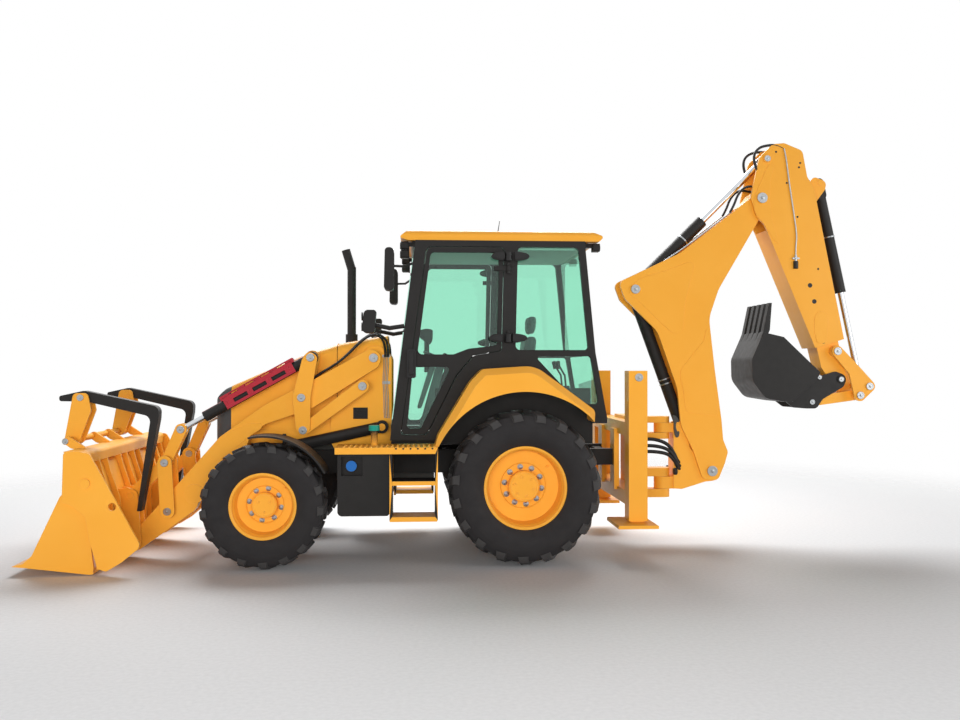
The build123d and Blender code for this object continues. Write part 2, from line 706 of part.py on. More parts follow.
def cab_glass():
    """Fixed panes: windscreen, rear screen and the side windows behind the doors."""
    inside = CAB_HALF_WIDTH - CAB_WALL
    screen = plate([(1140, 1180), (1140 + GLASS, 1180), (942 + GLASS, 2752), (942, 2752)], -inside, inside)
    rear = plate([(-604, REAR_SILL_Z), (-604 - GLASS, REAR_SILL_Z), (-560 - GLASS, 2752), (-560, 2752)],
                 -inside, inside)
    sill = REAR_SILL_Z - 27
    rear += plate([(-640, sill), (-640 - GLASS, sill), (-714 - GLASS, 1330), (-714, 1330)], -inside, inside)
    y = CAB_HALF_WIDTH - 30
    quarter = plate([(30, 2752, 40), (-510, 2752, 50), (-598, 1840, 30), (52, 1840, 40)], y, y + GLASS)
    low = plate([(-120, 1785, 20), (-618, 1785, 30), (-690, 1360, 30), (-520, 1360, 60)], y, y + GLASS)
    return screen + rear + both_sides(quarter + low)


def door(side):
    """Side door with an upper and a lower window."""
    y_low = CAB_HALF_WIDTH - CAB_WALL + 4
    leaf = plate(door_points(DOOR_GAP), y_low, CAB_HALF_WIDTH)
    for hole in (door_upper_points(), door_lower_points()):
        leaf -= plate(hole, y_low - 1, CAB_HALF_WIDTH + 1)
    for z in DOOR_HINGE_HEIGHTS:
        leaf += block(DOOR_HINGE[0], 240, CAB_HALF_WIDTH + 5, CAB_HALF_WIDTH + 14, z - 20, z + 20)
        leaf += block(190, 240, CAB_HALF_WIDTH - 2, CAB_HALF_WIDTH + 6, z - 20, z + 20)
        leaf += Pos(DOOR_HINGE[0], DOOR_HINGE[1], z) * Cylinder(16, 40)
        leaf -= Pos(DOOR_HINGE[0], DOOR_HINGE[1], z) * Cylinder(8 + PIN_GAP, 60)
    return leaf if side > 0 else other_side(leaf)


def door_upper_points():
    return [
        (918, 1800, 40), (800, 2700, 40), (200, 2700, 30), (218, 1880, 30), (470, 1850, 60), (600, 1800, 30),
    ]


def door_lower_points():
    return [(1010, 1150, 30), (960, 1690, 40), (622, 1690, 30), (888, 1150, 40)]


def door_glass(side):
    y = CAB_HALF_WIDTH - 30
    panes = plate(door_upper_points(), y, y + GLASS) + plate(door_lower_points(), y, y + GLASS)
    return panes if side > 0 else other_side(panes)


SEAT_Z = 1400
WHEEL_CENTRE = (672, 0, 1762)
WHEEL_RADIUS = 190


def operator_station():
    """Seat on its pedestal, the steering column with its wheel, and the backhoe's lever tower."""
    seat = block(-60, 160, -150, 150, CAB_FLOOR_Z, SEAT_Z)
    cushion = plate([
        (-150, SEAT_Z, 30), (-150, SEAT_Z + 120, 40), (250, SEAT_Z + 135, 40), (330, SEAT_Z + 90, 50),
        (320, SEAT_Z, 30),
    ], -250, 250)
    back = plate([
        (-150, SEAT_Z + 90, 30), (-50, SEAT_Z + 110, 40), (-110, 2010, 40), (-200, 2010, 40),
    ], -230, 230)
    rest = plate([(-190, 1990), (-130, 1990), (-130, 2180, 30), (-215, 2180, 30)], -130, 130)
    seat += fillet(cushion.edges().filter_by(Axis.Y, reverse=True).filter_by(GeomType.LINE), 12)
    seat += back + rest
    column = plate([(820, CAB_FLOOR_Z), (920, CAB_FLOOR_Z), (700, 1780), (640, 1750)], -60, 60)
    tilt = Plane(origin=WHEEL_CENTRE, x_dir=(0, 1, 0), z_dir=(-0.4, 0, 1))
    column += extrude(tilt * (Circle(WHEEL_RADIUS + 14) - Circle(WHEEL_RADIUS - 14)), 13, both=True)
    column += extrude(tilt * (Rectangle(2 * WHEEL_RADIUS, 34) + Circle(55)), 8, both=True)
    tower = plate([
        (-440, CAB_FLOOR_Z), (-600, CAB_FLOOR_Z), (-575, 1380, 40), (-440, 1400, 30),
    ], -230, 230)
    for y in (-120, 120):
        lever = tube_along([(-505, y, 1360), (-480, y, 1600), (-420, y, 1700)], 10)
        tower += lever + Pos(-415, y, 1705) * Cylinder(22, 60)
    return seat + column + tower


def body_panels():
    """Guards over the rear tyres, hollow below, and the fixed cover ahead of the cab."""
    y_in = CAB_HALF_WIDTH
    y_out = 1050
    line = [
        (770, 1010), (740, 1110, 60), (470, 1560, 200), (366, 1670, 60), (-86, 1700, 260), (-606, 1316, 60), (-600, 1180),
    ]
    outer = plate(line, y_in, y_out)
    outer = chamfer(crown_edges(outer, y_out), FENDER_CREASE)
    skin = 16
    inner = plate([
        (700, 900), (720, 1104, 60), (455, 1545, 200), (358, 1652, 50), (-80, 1682, 250), (-584, 1308, 50),
        (-584, 900),
    ], y_in - 1, y_out - skin)
    inner = chamfer(crown_edges(inner, y_out - skin), FENDER_CREASE - 5)
    arch = pin((0, REAR_TYRE_RADIUS), ARCH_RADIUS - 14, y_in - 1, y_out + 1)
    low_cut = block(-650, 800, y_in - 1, y_out + 1, 800, 1010)
    return both_sides(outer - inner - arch - low_cut) + rear_cowl()


FENDER_CREASE = 55


def crown_edges(solid, y):
    """Edges along the top of a guard, on its outer side."""
    return [edge for edge in solid.edges() if abs(edge.center().Y - y) < 1 and edge.center().Z > 1200]


def rear_frame():
    """Side-shift frame across the tail, with the two stabilizer tubes."""
    half = STABILIZER_SIZE / 2
    wall = 14
    front = STABILIZER_X + half
    frame = block(STABILIZER_X - half, front, -STABILIZER_Y, STABILIZER_Y, 1080, 1200)
    frame += block(STABILIZER_X - half, front, -STABILIZER_Y, STABILIZER_Y, 470, 590)
    frame += both_sides(block(front - 20, FRAME_REAR_X, RAIL_INNER_Y - 40, RAIL_OUTER_Y + 60, 560, 1120))
    tube = Pos(STABILIZER_X, STABILIZER_Y, (340 + 1656) / 2) * Box(STABILIZER_SIZE, STABILIZER_SIZE, 1656 - 340)
    bore = Pos(STABILIZER_X, STABILIZER_Y, 900) * Box(
        STABILIZER_SIZE - 2 * wall, STABILIZER_SIZE - 2 * wall, 1400)
    bore_both = both_sides(bore)
    return (frame + both_sides(tube)) - bore_both


def stabilizer(side):
    """Inner leg and its pad."""
    half = STABILIZER_SIZE / 2 - 14 - 0.5
    leg = block(STABILIZER_X - half, STABILIZER_X + half, STABILIZER_Y - half, STABILIZER_Y + half, 340, 1560)
    pad = plate([
        (-1150, 330, 10), (-1150, 300), (-800, 300), (-800, 330, 10),
    ], STABILIZER_Y - 250, STABILIZER_Y + 250)
    leg_whole = leg + pad + block(STABILIZER_X - 60, STABILIZER_X + 60, STABILIZER_Y - 60, STABILIZER_Y + 60, 320, 345)
    return leg_whole if side > 0 else other_side(leg_whole)


# Loader

ARM_INNER = ARM_Y - ARM_WIDTH / 2
ARM_OUTER = ARM_Y + ARM_WIDTH / 2
SIDE_LOW = ARM_OUTER + SIDE_PLATE_GAP
SIDE_HIGH = SIDE_LOW + SIDE_PLATE
TWIN_LOW = ARM_INNER - SIDE_PLATE_GAP - SIDE_PLATE
TWIN_HIGH = ARM_INNER - SIDE_PLATE_GAP
LINK_LOW = SIDE_HIGH + LINK_LAYER_GAP
LINK_HIGH = LINK_LOW + SIDE_PLATE
LINK_TWIN_HIGH = TWIN_LOW - LINK_LAYER_GAP
LINK_TWIN_LOW = LINK_TWIN_HIGH - SIDE_PLATE


def straddle(face):
    """A pair of plates outside the arm's two faces."""
    return slab(face, SIDE_LOW, SIDE_HIGH) + slab(face, TWIN_LOW, TWIN_HIGH)


def arm_face():
    return profile([
        (1225, 1790, 80),
        (1330, 1860, 80),
        (1834, 1581),
        (2282, 1344, 300),
        (2664, 1070, 200),
        (3066, 613, 200),
        (3472, 160, 50),
        (3400, 50, 60),
        (3300, 122),
        (2868, 430, 120),
        (2800, 640, 150),
        (2640, 830, 50),
        (2590, 795, 30),
        (2490, 800, 50),
        (2440, 960, 60),
        (2400, 1080, 60),
        (2271, 1180, 150),
        (1858, 1321),
        (1270, 1690, 80),
    ])


def loader_arms():
    """Two plate arms joined by the cross tube, open at the front for the levers."""
    face = arm_face()
    arm = slab(face, ARM_INNER, ARM_INNER + ARM_PLATE) + slab(face, ARM_OUTER - ARM_PLATE, ARM_OUTER)
    core = slab(face, ARM_INNER + 1, ARM_OUTER - 1)
    arm += core & block(1200, 2150, ARM_INNER, ARM_OUTER, 1150, 1900)
    arm += (core & block(2150, 3520, ARM_INNER, ARM_OUTER, 0, 1450)) - pin(LIFT_EYE, 190, ARM_INNER, ARM_OUTER)
    arm += pin(SHORT_LINK_FOOT, 55, ARM_INNER, ARM_OUTER)
    arm -= pin(LIFT_PIVOT, 44 + PIN_GAP, ARM_INNER - 1, ARM_OUTER + 1)
    for place in (BELLCRANK_PIVOT, SHORT_LINK_FOOT, BUCKET_HINGE):
        arm -= pin(place, PIN_RADIUS + PIN_GAP, ARM_INNER - 1, ARM_OUTER + 1)
    tube = pin(CROSS_TUBE, CROSS_TUBE_RADIUS, -ARM_OUTER - 4, ARM_OUTER + 4)
    return both_sides(arm) + tube


def ram_barrel(base, eye, eye_radius, bore_radius, radius, length, y, half_eye):
    """Cylinder barrel with a base eye bored for its pin."""
    body = rod(along(base, eye, eye_radius * 0.6), along(base, eye, length), radius, y)
    body += pin(base, eye_radius, y - half_eye, y + half_eye)
    return body - pin(base, bore_radius + PIN_GAP, y - half_eye - 60, y + half_eye + 60)


def bored_barrel(base, eye, eye_radius, bore_radius, radius, length, y, half_eye, rod_radius, depth):
    solid = ram_barrel(base, eye, eye_radius, bore_radius, radius, length, y, half_eye)
    return solid - rod(along(base, eye, length - depth), along(base, eye, length + 5), rod_radius + PIN_GAP, y)


def ram_rod(base, eye, eye_radius, radius, start, y, half_eye):
    body = rod(along(base, eye, start), along(base, eye, math.dist(base, eye) - eye_radius * 0.6), radius, y)
    return body + pin(eye, eye_radius, y - half_eye, y + half_eye)


LIFT_ROD_BARE = 245
LIFT_BARREL_LENGTH = math.dist(LIFT_BASE, LIFT_EYE) - LIFT_ROD_BARE
LIFT_ROD_START = 230
TILT_ROD_BARE = 226
TILT_BARREL_LENGTH = math.dist(BELLCRANK_TOP, LEVER_TOP) - TILT_ROD_BARE
TILT_ROD_START = 330


def lift_barrels():
    return both_sides(bored_barrel(
        LIFT_BASE, LIFT_EYE, 58, PIN_RADIUS, LIFT_BARREL_RADIUS, LIFT_BARREL_LENGTH, ARM_Y, 40,
        LIFT_ROD_RADIUS, LIFT_BARREL_LENGTH - 90))


def lift_rods():
    return both_sides(ram_rod(LIFT_BASE, LIFT_EYE, 50, LIFT_ROD_RADIUS, LIFT_ROD_START, ARM_Y, 27))


def lower_links():
    bar = link(LOWER_LINK_PIVOT, 58, BELLCRANK_FOOT, 46, SIDE_LOW - 2, SIDE_HIGH)
    bar -= pin(LOWER_LINK_PIVOT, 28 + PIN_GAP, ARM_OUTER - 1, LINK_HIGH)
    return both_sides(bar)


def bellcrank_face():
    return profile([
        (BELLCRANK_TOP[0] - 62, BELLCRANK_TOP[1] + 10, 50),
        (BELLCRANK_TOP[0] + 20, BELLCRANK_TOP[1] + 70, 50),
        (BELLCRANK_TOP[0] + 75, BELLCRANK_TOP[1] - 20, 30),
        (BELLCRANK_PIVOT[0] + 78, BELLCRANK_PIVOT[1], 200),
        (BELLCRANK_FOOT[0] + 60, BELLCRANK_FOOT[1] + 10, 50),
        (BELLCRANK_FOOT[0], BELLCRANK_FOOT[1] - 70, 50),
        (BELLCRANK_FOOT[0] - 62, BELLCRANK_FOOT[1] + 10, 40),
        (BELLCRANK_PIVOT[0] - 80, BELLCRANK_PIVOT[1], 200),
    ])


def bellcranks():
    """Plates either side of each arm, the outer one down to the lower link; the pin runs through the arm."""
    pair = slab(bellcrank_face(), LINK_LOW, LINK_HIGH)
    pair += link(BELLCRANK_TOP, 66, BELLCRANK_PIVOT, 74, TWIN_LOW, TWIN_HIGH)
    pair += pin(BELLCRANK_PIVOT, PIN_RADIUS, TWIN_LOW - 4, LINK_HIGH + 10)
    pair += pin(BELLCRANK_FOOT, PIN_RADIUS, LINK_HIGH - 2, LINK_HIGH + 10)
    pair -= pin(BELLCRANK_TOP, PIN_RADIUS + PIN_GAP, TWIN_LOW - 1, LINK_HIGH + 1)
    return both_sides(pair)


def tilt_pins():
    shaft = pin(BELLCRANK_TOP, PIN_RADIUS, TWIN_LOW - 10, LINK_HIGH + 10)
    return both_sides(shaft)


def tilt_barrels():
    return both_sides(bored_barrel(
        BELLCRANK_TOP, LEVER_TOP, 56, PIN_RADIUS, TILT_BARREL_RADIUS, TILT_BARREL_LENGTH, ARM_Y, 50,
        TILT_ROD_RADIUS, TILT_BARREL_LENGTH - 90)) + safety_brace()


def beside_tilt(distance, offset):
    """Place along the tilt cylinder's line, moved square to it by offset."""
    x, z = along(BELLCRANK_TOP, LEVER_TOP, distance)
    length = math.dist(BELLCRANK_TOP, LEVER_TOP)
    across = ((BELLCRANK_TOP[1] - LEVER_TOP[1]) / length, (LEVER_TOP[0] - BELLCRANK_TOP[0]) / length)
    return (x + across[0] * offset, z + across[1] * offset)


def safety_brace():
    """Channel stowed on the left tilt barrel, which locks the raised arms; slots lighten its web."""
    web = TILT_BARREL_RADIUS - 4
    channel = plate([
        beside_tilt(150, web), beside_tilt(880, web), beside_tilt(880, web + 40), beside_tilt(150, web + 40),
    ], ARM_Y - 44, ARM_Y + 44)
    channel -= plate([
        beside_tilt(140, web + 12), beside_tilt(890, web + 12), beside_tilt(890, web + 50), beside_tilt(140, web + 50),
    ], ARM_Y - 36, ARM_Y + 36)
    for i in range(4):
        start = 230 + i * 160
        channel -= plate([
            beside_tilt(start, web + 18), beside_tilt(start + 90, web + 18),
            beside_tilt(start + 90, web + 34), beside_tilt(start, web + 34),
        ], ARM_Y - 60, ARM_Y + 60)
    return channel


def tilt_rods():
    return both_sides(ram_rod(BELLCRANK_TOP, LEVER_TOP, 46, TILT_ROD_RADIUS, TILT_ROD_START, ARM_Y, 28))


def hinge_pins():
    return both_sides(pin(BUCKET_HINGE, PIN_RADIUS, TWIN_LOW - 3, SIDE_HIGH + 3))


def lower_link_pins():
    return both_sides(pin(SHORT_LINK_FOOT, PIN_RADIUS, LINK_TWIN_LOW - 8, LINK_HIGH + 8))


def upper_link_pins():
    return both_sides(pin(LEVER_PIVOT, PIN_RADIUS, LINK_TWIN_LOW - 8, LINK_HIGH + 8))


def short_links():
    face = bar_face(SHORT_LINK_FOOT, 62, LEVER_PIVOT, 62)
    pair = slab(face, LINK_LOW, LINK_HIGH) + slab(face, LINK_TWIN_LOW, LINK_TWIN_HIGH)
    for place in (SHORT_LINK_FOOT, LEVER_PIVOT):
        pair -= pin(place, PIN_RADIUS + PIN_GAP, LINK_TWIN_LOW - 1, LINK_HIGH + 1)
    return both_sides(pair)


def levers():
    """Bent twin-plate levers; the tilt ram's eye runs between their tops."""
    face = bar_face(LEVER_PIVOT, 46, LEVER_FOOT, 52)
    top = bar_face(LEVER_PIVOT, 46, LEVER_TOP, 51)
    solid = None
    for low in (ARM_INNER + 3, ARM_OUTER - 3 - LEVER_PLATE):
        cheek = slab(face, low, low + LEVER_PLATE) + slab(top, low, low + LEVER_PLATE)
        solid = cheek if solid is None else solid + cheek
    solid += pin(LEVER_PIVOT, 45, ARM_INNER + 3, ARM_OUTER - 3)
    solid += pin(LEVER_FOOT, 50, ARM_INNER + 3, ARM_OUTER - 3)
    solid += pin(LEVER_TOP, PIN_RADIUS, ARM_OUTER - 4, ARM_OUTER + 8)
    solid += pin(LEVER_TOP, PIN_RADIUS, ARM_INNER - 8, ARM_INNER + 4)
    for place in (LEVER_PIVOT, LEVER_FOOT):
        solid -= pin(place, PIN_RADIUS + PIN_GAP, ARM_INNER - 1, ARM_OUTER + 1)
    return both_sides(solid)


def loader_bucket():
    """Rear half of the clamshell: back plate, side plates, top beam, hinge lugs and fork bar."""
    inside = BUCKET_HALF_WIDTH - 58
    back = plate([
        (3496, 42), (3516, 42), (3540, 300, 400), (3556, 600, 400), (3640, 860, 200), (3750, 985), (3740, 1005),
        (3620, 875, 200), (3534, 600, 400), (3514, 300, 400),
    ], -inside, inside)
    top = plate([(3590, 905), (3590, 990, 30), (3640, BUCKET_TOP_Z), (3765, BUCKET_TOP_Z), (3700, 935)],
                -BUCKET_HALF_WIDTH, BUCKET_HALF_WIDTH)
    cheek = plate([
        (3765, BUCKET_TOP_Z, 30), (3563, 991, 40), (3150, 234, 50), (3300, 110, 40), (3425, 34, 40), (3494, 60),
        (3560, 300), (3590, 480, 60), (3700, 575, 60), (3775, 596, 20),
    ], BUCKET_HALF_WIDTH - 24, BUCKET_HALF_WIDTH)
    heel = block(3430, 3490, inside - 20, BUCKET_HALF_WIDTH - 1, 60, 300)
    cheek += heel
    cheek += pin(CLAM_PIVOT, 40, inside + 6, BUCKET_HALF_WIDTH + 14)
    cheek -= pin(LIFT_HOLE, LIFT_HOLE_RADIUS, BUCKET_HALF_WIDTH - 30, BUCKET_HALF_WIDTH + 1)
    lug_face = profile([
        (LEVER_FOOT[0] - 62, LEVER_FOOT[1] + 40, 50), (LEVER_FOOT[0] + 20, LEVER_FOOT[1] + 75, 40),
        (3538, 620), (3508, 60), (BUCKET_HINGE[0], BUCKET_HINGE[1] - 78, 50),
        (BUCKET_HINGE[0] - 75, BUCKET_HINGE[1] + 10, 50),
    ])
    lugs = straddle(lug_face)
    lugs -= pin(BUCKET_HINGE, PIN_RADIUS + PIN_GAP, TWIN_LOW - 1, SIDE_HIGH + 1)
    lugs += pin(LEVER_FOOT, PIN_RADIUS, TWIN_LOW - 3, SIDE_HIGH + 3)
    fork_bar = pin(FORK_BAR, 28, -860, 860)
    for y in (840, 200):
        ear = plate([(3690, 960), (3690, 1000), (FORK_BAR[0] - 20, FORK_BAR[1] + 45, 30),
                     (FORK_BAR[0] + 45, FORK_BAR[1] + 10, 30), (3830, 1005, 20), (3765, 985)], y - 14, y + 14)
        fork_bar += both_sides(ear)
    ribs = None
    for y in BUCKET_RIBS:
        rib = plate([
            (3508, 110), (3462, 200, 60), (3476, 560, 200), (3560, 800, 200), (3592, 930), (3640, 900), (3545, 600, 300),
            (3520, 300, 300),
        ], y - 9, y + 9)
        ribs = rib if ribs is None else ribs + rib
    return back + top + both_sides(cheek + lugs + ribs) + fork_bar


BUCKET_RIBS = (110, 290, 660, 860, 1060)


def clam():
    """Front half of the clamshell: floor with its cutting edge, and the two jaw plates."""
    high = BUCKET_HALF_WIDTH - 30
    low = high - 22
    jaw = plate([
        (CLAM_PIVOT[0] - 70, CLAM_PIVOT[1] + 10, 60), (CLAM_PIVOT[0] + 10, CLAM_PIVOT[1] + 80, 60),
        (3800, 640, 40), (4020, 165, 40), (4090, 100), (4150, 82), (3540, 12), (3532, 60), (3575, 400, 150),
    ], low, high)
    jaw -= pin(CLAM_PIVOT, 40 + PIN_GAP, low - 1, high + 1)
    floor = plate([
        (3534, 12), (3540, 52), (4060, 108), (CUTTING_EDGE_X, CUTTING_EDGE_Z), (4060, 66), (3560, 6),
    ], -high, high)
    return both_sides(jaw) + floor


def fork_carriers():
    face = profile([
        (FORK_BAR[0] - 60, FORK_BAR[1] - 20, 50), (FORK_TINE_PIN[0] - 90, FORK_TINE_PIN[1] - 110, 30),
        (FORK_TINE_PIN[0] - 60, FORK_TINE_PIN[1] + 40, 40), (FORK_TINE_PIN[0] + 60, FORK_TINE_PIN[1] + 40, 40),
        (FORK_BAR[0] + 60, FORK_BAR[1] + 10, 50), (FORK_BAR[0], FORK_BAR[1] - 62, 40),
    ])
    half = FORK_WIDTH / 2
    pair = slab(face, FORK_Y + half + 8, FORK_Y + half + 24) + slab(face, FORK_Y - half - 24, FORK_Y - half - 8)
    pair += pin(FORK_BAR, 50, FORK_Y - half - 20, FORK_Y + half + 20)
    pair -= pin(FORK_BAR, 28 + PIN_GAP, FORK_Y - 200, FORK_Y + 200)
    pair += pin(FORK_TINE_PIN, 26, FORK_Y - half - 30, FORK_Y + half + 30)
    return both_sides(pair)


def fork_tines():
    half = FORK_WIDTH / 2
    tine = plate([
        (3985, 1395, 20), (3985, 1440, 20), (3780, 1485, 60), (3145, 1345, 60), (3150, 1240, 40),
        (3292, 445), (3330, 445), (3215, 1260, 60), (3750, 1390, 60),
    ], FORK_Y - half, FORK_Y + half)
    tine -= pin(FORK_TINE_PIN, 26 + PIN_GAP, FORK_Y - 100, FORK_Y + 100)
    return both_sides(tine)


# Backhoe

def carriage():
    """Side-shift carriage on the rear frame's rails, with the king-post forks."""
    face = STABILIZER_X - STABILIZER_SIZE / 2 - PIN_GAP
    back = block(face - 60, face, -230, 230, 440, 1230)
    hooks = block(face - 60, face + 60, -230, 230, 1200 + PIN_GAP, 1230)
    hooks += block(face - 60, face + 60, -230, 230, 440, 470 - PIN_GAP)
    whole = back + hooks
    for z_low, z_high in KING_ARMS:
        whole += block(SWING_X, face - 50, -KING_RADIUS, KING_RADIUS, z_low, z_high)
        whole += Pos(SWING_X, 0, (z_low + z_high) / 2) * Cylinder(KING_RADIUS, z_high - z_low)
    for low_arm, high_arm in ((KING_ARMS[0], KING_ARMS[1]), (KING_ARMS[2], KING_ARMS[3])):
        length = high_arm[0] - low_arm[1] + 20
        whole += Pos(SWING_X, 0, (high_arm[0] + low_arm[1]) / 2) * Cylinder(KING_PIN, length)
    return whole


KING_ARMS = ((440, 520), (640, 720), (1000, 1060), (1155, 1215))
KING_RADIUS = 75
KING_PIN = 45
SWING_HALF = 96


def swing_frame():
    """King-post casting: eyes between the carriage's forks, cheeks for the boom foot and ram."""
    heel = SWING_X - KING_RADIUS - 17
    body = plate([
        (heel, 1150), (-1660, 1185, 60), (-1705, 1080, 50), (-1680, 900, 100), (-1990, 740, 70), (-1965, 600, 70),
        (-1850, 590, 60), (-1620, 520, 30), (heel, 525),
    ], -SWING_HALF, SWING_HALF)
    for low_arm, high_arm in ((KING_ARMS[0], KING_ARMS[1]), (KING_ARMS[2], KING_ARMS[3])):
        z_low = low_arm[1] + 2
        z_high = high_arm[0] - 2
        body += block(heel - 20, SWING_X, -KING_RADIUS, KING_RADIUS, z_low, z_high)
        body += Pos(SWING_X, 0, (z_low + z_high) / 2) * Cylinder(KING_RADIUS, z_high - z_low)
        body -= Pos(SWING_X, 0, (z_low + z_high) / 2) * Cylinder(KING_PIN + PIN_GAP, z_high - z_low + 2)
    body -= plate([(-1500, 1300), (-1570, 1045), (-1700, 1010), (-1800, 1060), (-1800, 1300)], -62, 62)
    body += pin(BOOM_RAM_BASE, 38, -SWING_HALF, SWING_HALF)
    body -= pin(BOOM_FOOT, 45 + PIN_GAP, -200, 200)
    return body


def boom():
    """Curved box boom, forked at its foot and open at the ram lug."""
    face = profile([
        (-1812, 620, 60), (-1725, 879, 150), (-1600, 1136, 200), (-1568, 1483, 400), (-1374, 2032, 250),
        (-1059, 2342, 60), (-1000, 2500, 60), (-1170, 2580, 100), (-1598, 2785, 300), (-2280, 3310, 60),
        (-2330, 3400, 70), (-2470, 3370, 70), (-2440, 3230, 60), (-1972, 2438, 400), (-1877, 2162, 300),
        (-1932, 1666), (-1997, 1183, 100), (-2013, 993, 60), (-2060, 877, 60), (-2030, 770, 80), (-1960, 600, 60),
    ])
    solid = slab(face, -BOOM_HALF_WIDTH, BOOM_HALF_WIDTH)
    solid -= block(-2200, -1500, -101, 101, 500, 1330)
    solid -= plate([
        (-1400, 1200), (-1735, 1200), (-1330, 2400), (-1420, 2560), (-1620, 2660), (-2090, 3010), (-2190, 3180),
        (-2190, 3500), (-1200, 3000), (-900, 2800), (-900, 2200),
    ], -98, 98)
    solid += pin(BOOM_FOOT, 45, -BOOM_HALF_WIDTH - 16, BOOM_HALF_WIDTH + 16)
    solid += both_sides(pin(BOOM_LUG, 38, 90, BOOM_HALF_WIDTH + 16) + pin(BOOM_LUG, 30, 46, 95))
    solid -= pin(STICK_PIVOT, 45 + PIN_GAP, -200, 200)
    return solid


BOOM_ROD_BARE = 153
BOOM_BARREL_LENGTH = math.dist(BOOM_RAM_BASE, BOOM_LUG) - BOOM_ROD_BARE
BOOM_ROD_START = 230
STICK_ROD_BARE = 833
STICK_BARREL_LENGTH = math.dist(BOOM_LUG, STICK_LUG) - STICK_ROD_BARE
STICK_ROD_START = 770
HOE_ROD_BARE = 938
HOE_BARREL_LENGTH = math.dist(BUCKET_RAM_BASE, ROCKER_RAM_PIN) - HOE_ROD_BARE
HOE_ROD_START = 890
STICK_BARREL_FLOOR = 110
HOE_BARREL_FLOOR = 100
BARREL_FLOOR = 90


def boom_ram_barrel():
    return bored_barrel(BOOM_RAM_BASE, BOOM_LUG, 60, 38, 58, BOOM_BARREL_LENGTH, 0, 56, 32,
                        BOOM_BARREL_LENGTH - BARREL_FLOOR)


def boom_ram_rod():
    return ram_rod(BOOM_RAM_BASE, BOOM_LUG, 52, 32, BOOM_ROD_START, 0, 36)


def stick_ram_barrel():
    solid = rod(along(BOOM_LUG, STICK_LUG, 90), along(BOOM_LUG, STICK_LUG, STICK_BARREL_LENGTH), 58, 0)
    fork = link(BOOM_LUG, 52, along(BOOM_LUG, STICK_LUG, 150), 52, 42, 84)
    solid += both_sides(fork)
    solid -= pin(BOOM_LUG, 60, -41, 41)
    solid -= pin(BOOM_LUG, 30 + PIN_GAP, -90, 90)
    bore = rod(along(BOOM_LUG, STICK_LUG, STICK_BARREL_FLOOR),
               along(BOOM_LUG, STICK_LUG, STICK_BARREL_LENGTH + 5), 32 + PIN_GAP, 0)
    return solid - bore


def stick_ram_rod():
    return ram_rod(BOOM_LUG, STICK_LUG, 52, 32, STICK_ROD_START, 0, 60)


def stick_outer():
    """Outer section: side cheeks at the head, a box below with a slot down its rear face."""
    face = profile([
        (-2497, 3838, 60), (-2610, 3849, 40), (-2790, 3778, 60), (-2836, 3529, 60), (-2905, 3410, 80),
        stick_place(372, 112), stick_place(352, -186), (-2410, 3070, 200), (-2340, 3127, 120), (-2279, 3319, 80),
        (-2365, 3707, 60),
    ])
    solid = slab(face, -STICK_HALF_WIDTH, STICK_HALF_WIDTH)
    tunnel = profile([
        stick_place(300, -162), stick_place(2600, -162), stick_place(2600, 82), stick_place(300, 82),
    ])
    solid -= slab(tunnel, -STICK_CAVITY + 18, STICK_CAVITY - 18)
    head = profile([
        (-2200, 3000), (-2420, 3010), stick_place(1480, -190), stick_place(1480, 0), stick_place(1700, 40),
        (-2700, 3900), (-2200, 3900),
    ])
    solid -= slab(head, -STICK_CAVITY, STICK_CAVITY)
    slot = profile([
        stick_place(560, 60), stick_place(2600, 60), stick_place(2600, 300), stick_place(560, 300),
    ])
    solid -= slab(slot, -RAM_LUG_HALF - 7, RAM_LUG_HALF + 7)
    pad = plate([
        stick_place(380, -110), stick_place(480, -110), stick_place(480, 40), stick_place(380, 40),
    ], INNER_STICK_HALF + PIN_GAP, STICK_CAVITY)
    solid += both_sides(pad)
    solid += pin(STICK_PIVOT, 45, -STICK_HALF_WIDTH - 16, STICK_HALF_WIDTH + 16)
    for side in (1, -1):
        solid += pin(STICK_LUG, 38, min(side * 66, side * (STICK_HALF_WIDTH + 14)),
                     max(side * 66, side * (STICK_HALF_WIDTH + 14)))
    return solid


def stick_inner():
    """Sliding section with the bucket pin boss, the rocker boss and the ram's lug."""
    body = plate([
        stick_place(150, -150), stick_place(1840, -156), stick_place(1840, 76), stick_place(150, 70),
        stick_place(-40, 76) + (60,), stick_place(-76, 0) + (40,), stick_place(-50, -70) + (60,),
    ], -INNER_STICK_HALF, INNER_STICK_HALF)
    neck = plate([
        stick_place(1650, 40), stick_place(1840, 40), stick_place(1975, 220) + (40,),
        stick_place(1900, 330) + (50,), stick_place(1830, 300) + (40,), stick_place(1650, 90),
    ], -RAM_LUG_HALF, RAM_LUG_HALF)
    solid = body + neck
    solid -= plate([
        stick_place(1990, 170), stick_place(1990, 400), stick_place(1480, 400), stick_place(1480, 112),
    ], -57, 57)
    solid += pin(BUCKET_RAM_BASE, 30, -RAM_LUG_HALF - 4, RAM_LUG_HALF + 4)
    solid += pin(ROCKER_PIN, 56, -STICK_HALF_WIDTH, STICK_HALF_WIDTH)
    solid -= pin(ROCKER_PIN, 36 + PIN_GAP, -200, 200)
    solid -= pin(BUCKET_PIN, 36 + PIN_GAP, -200, 200)
    return solid


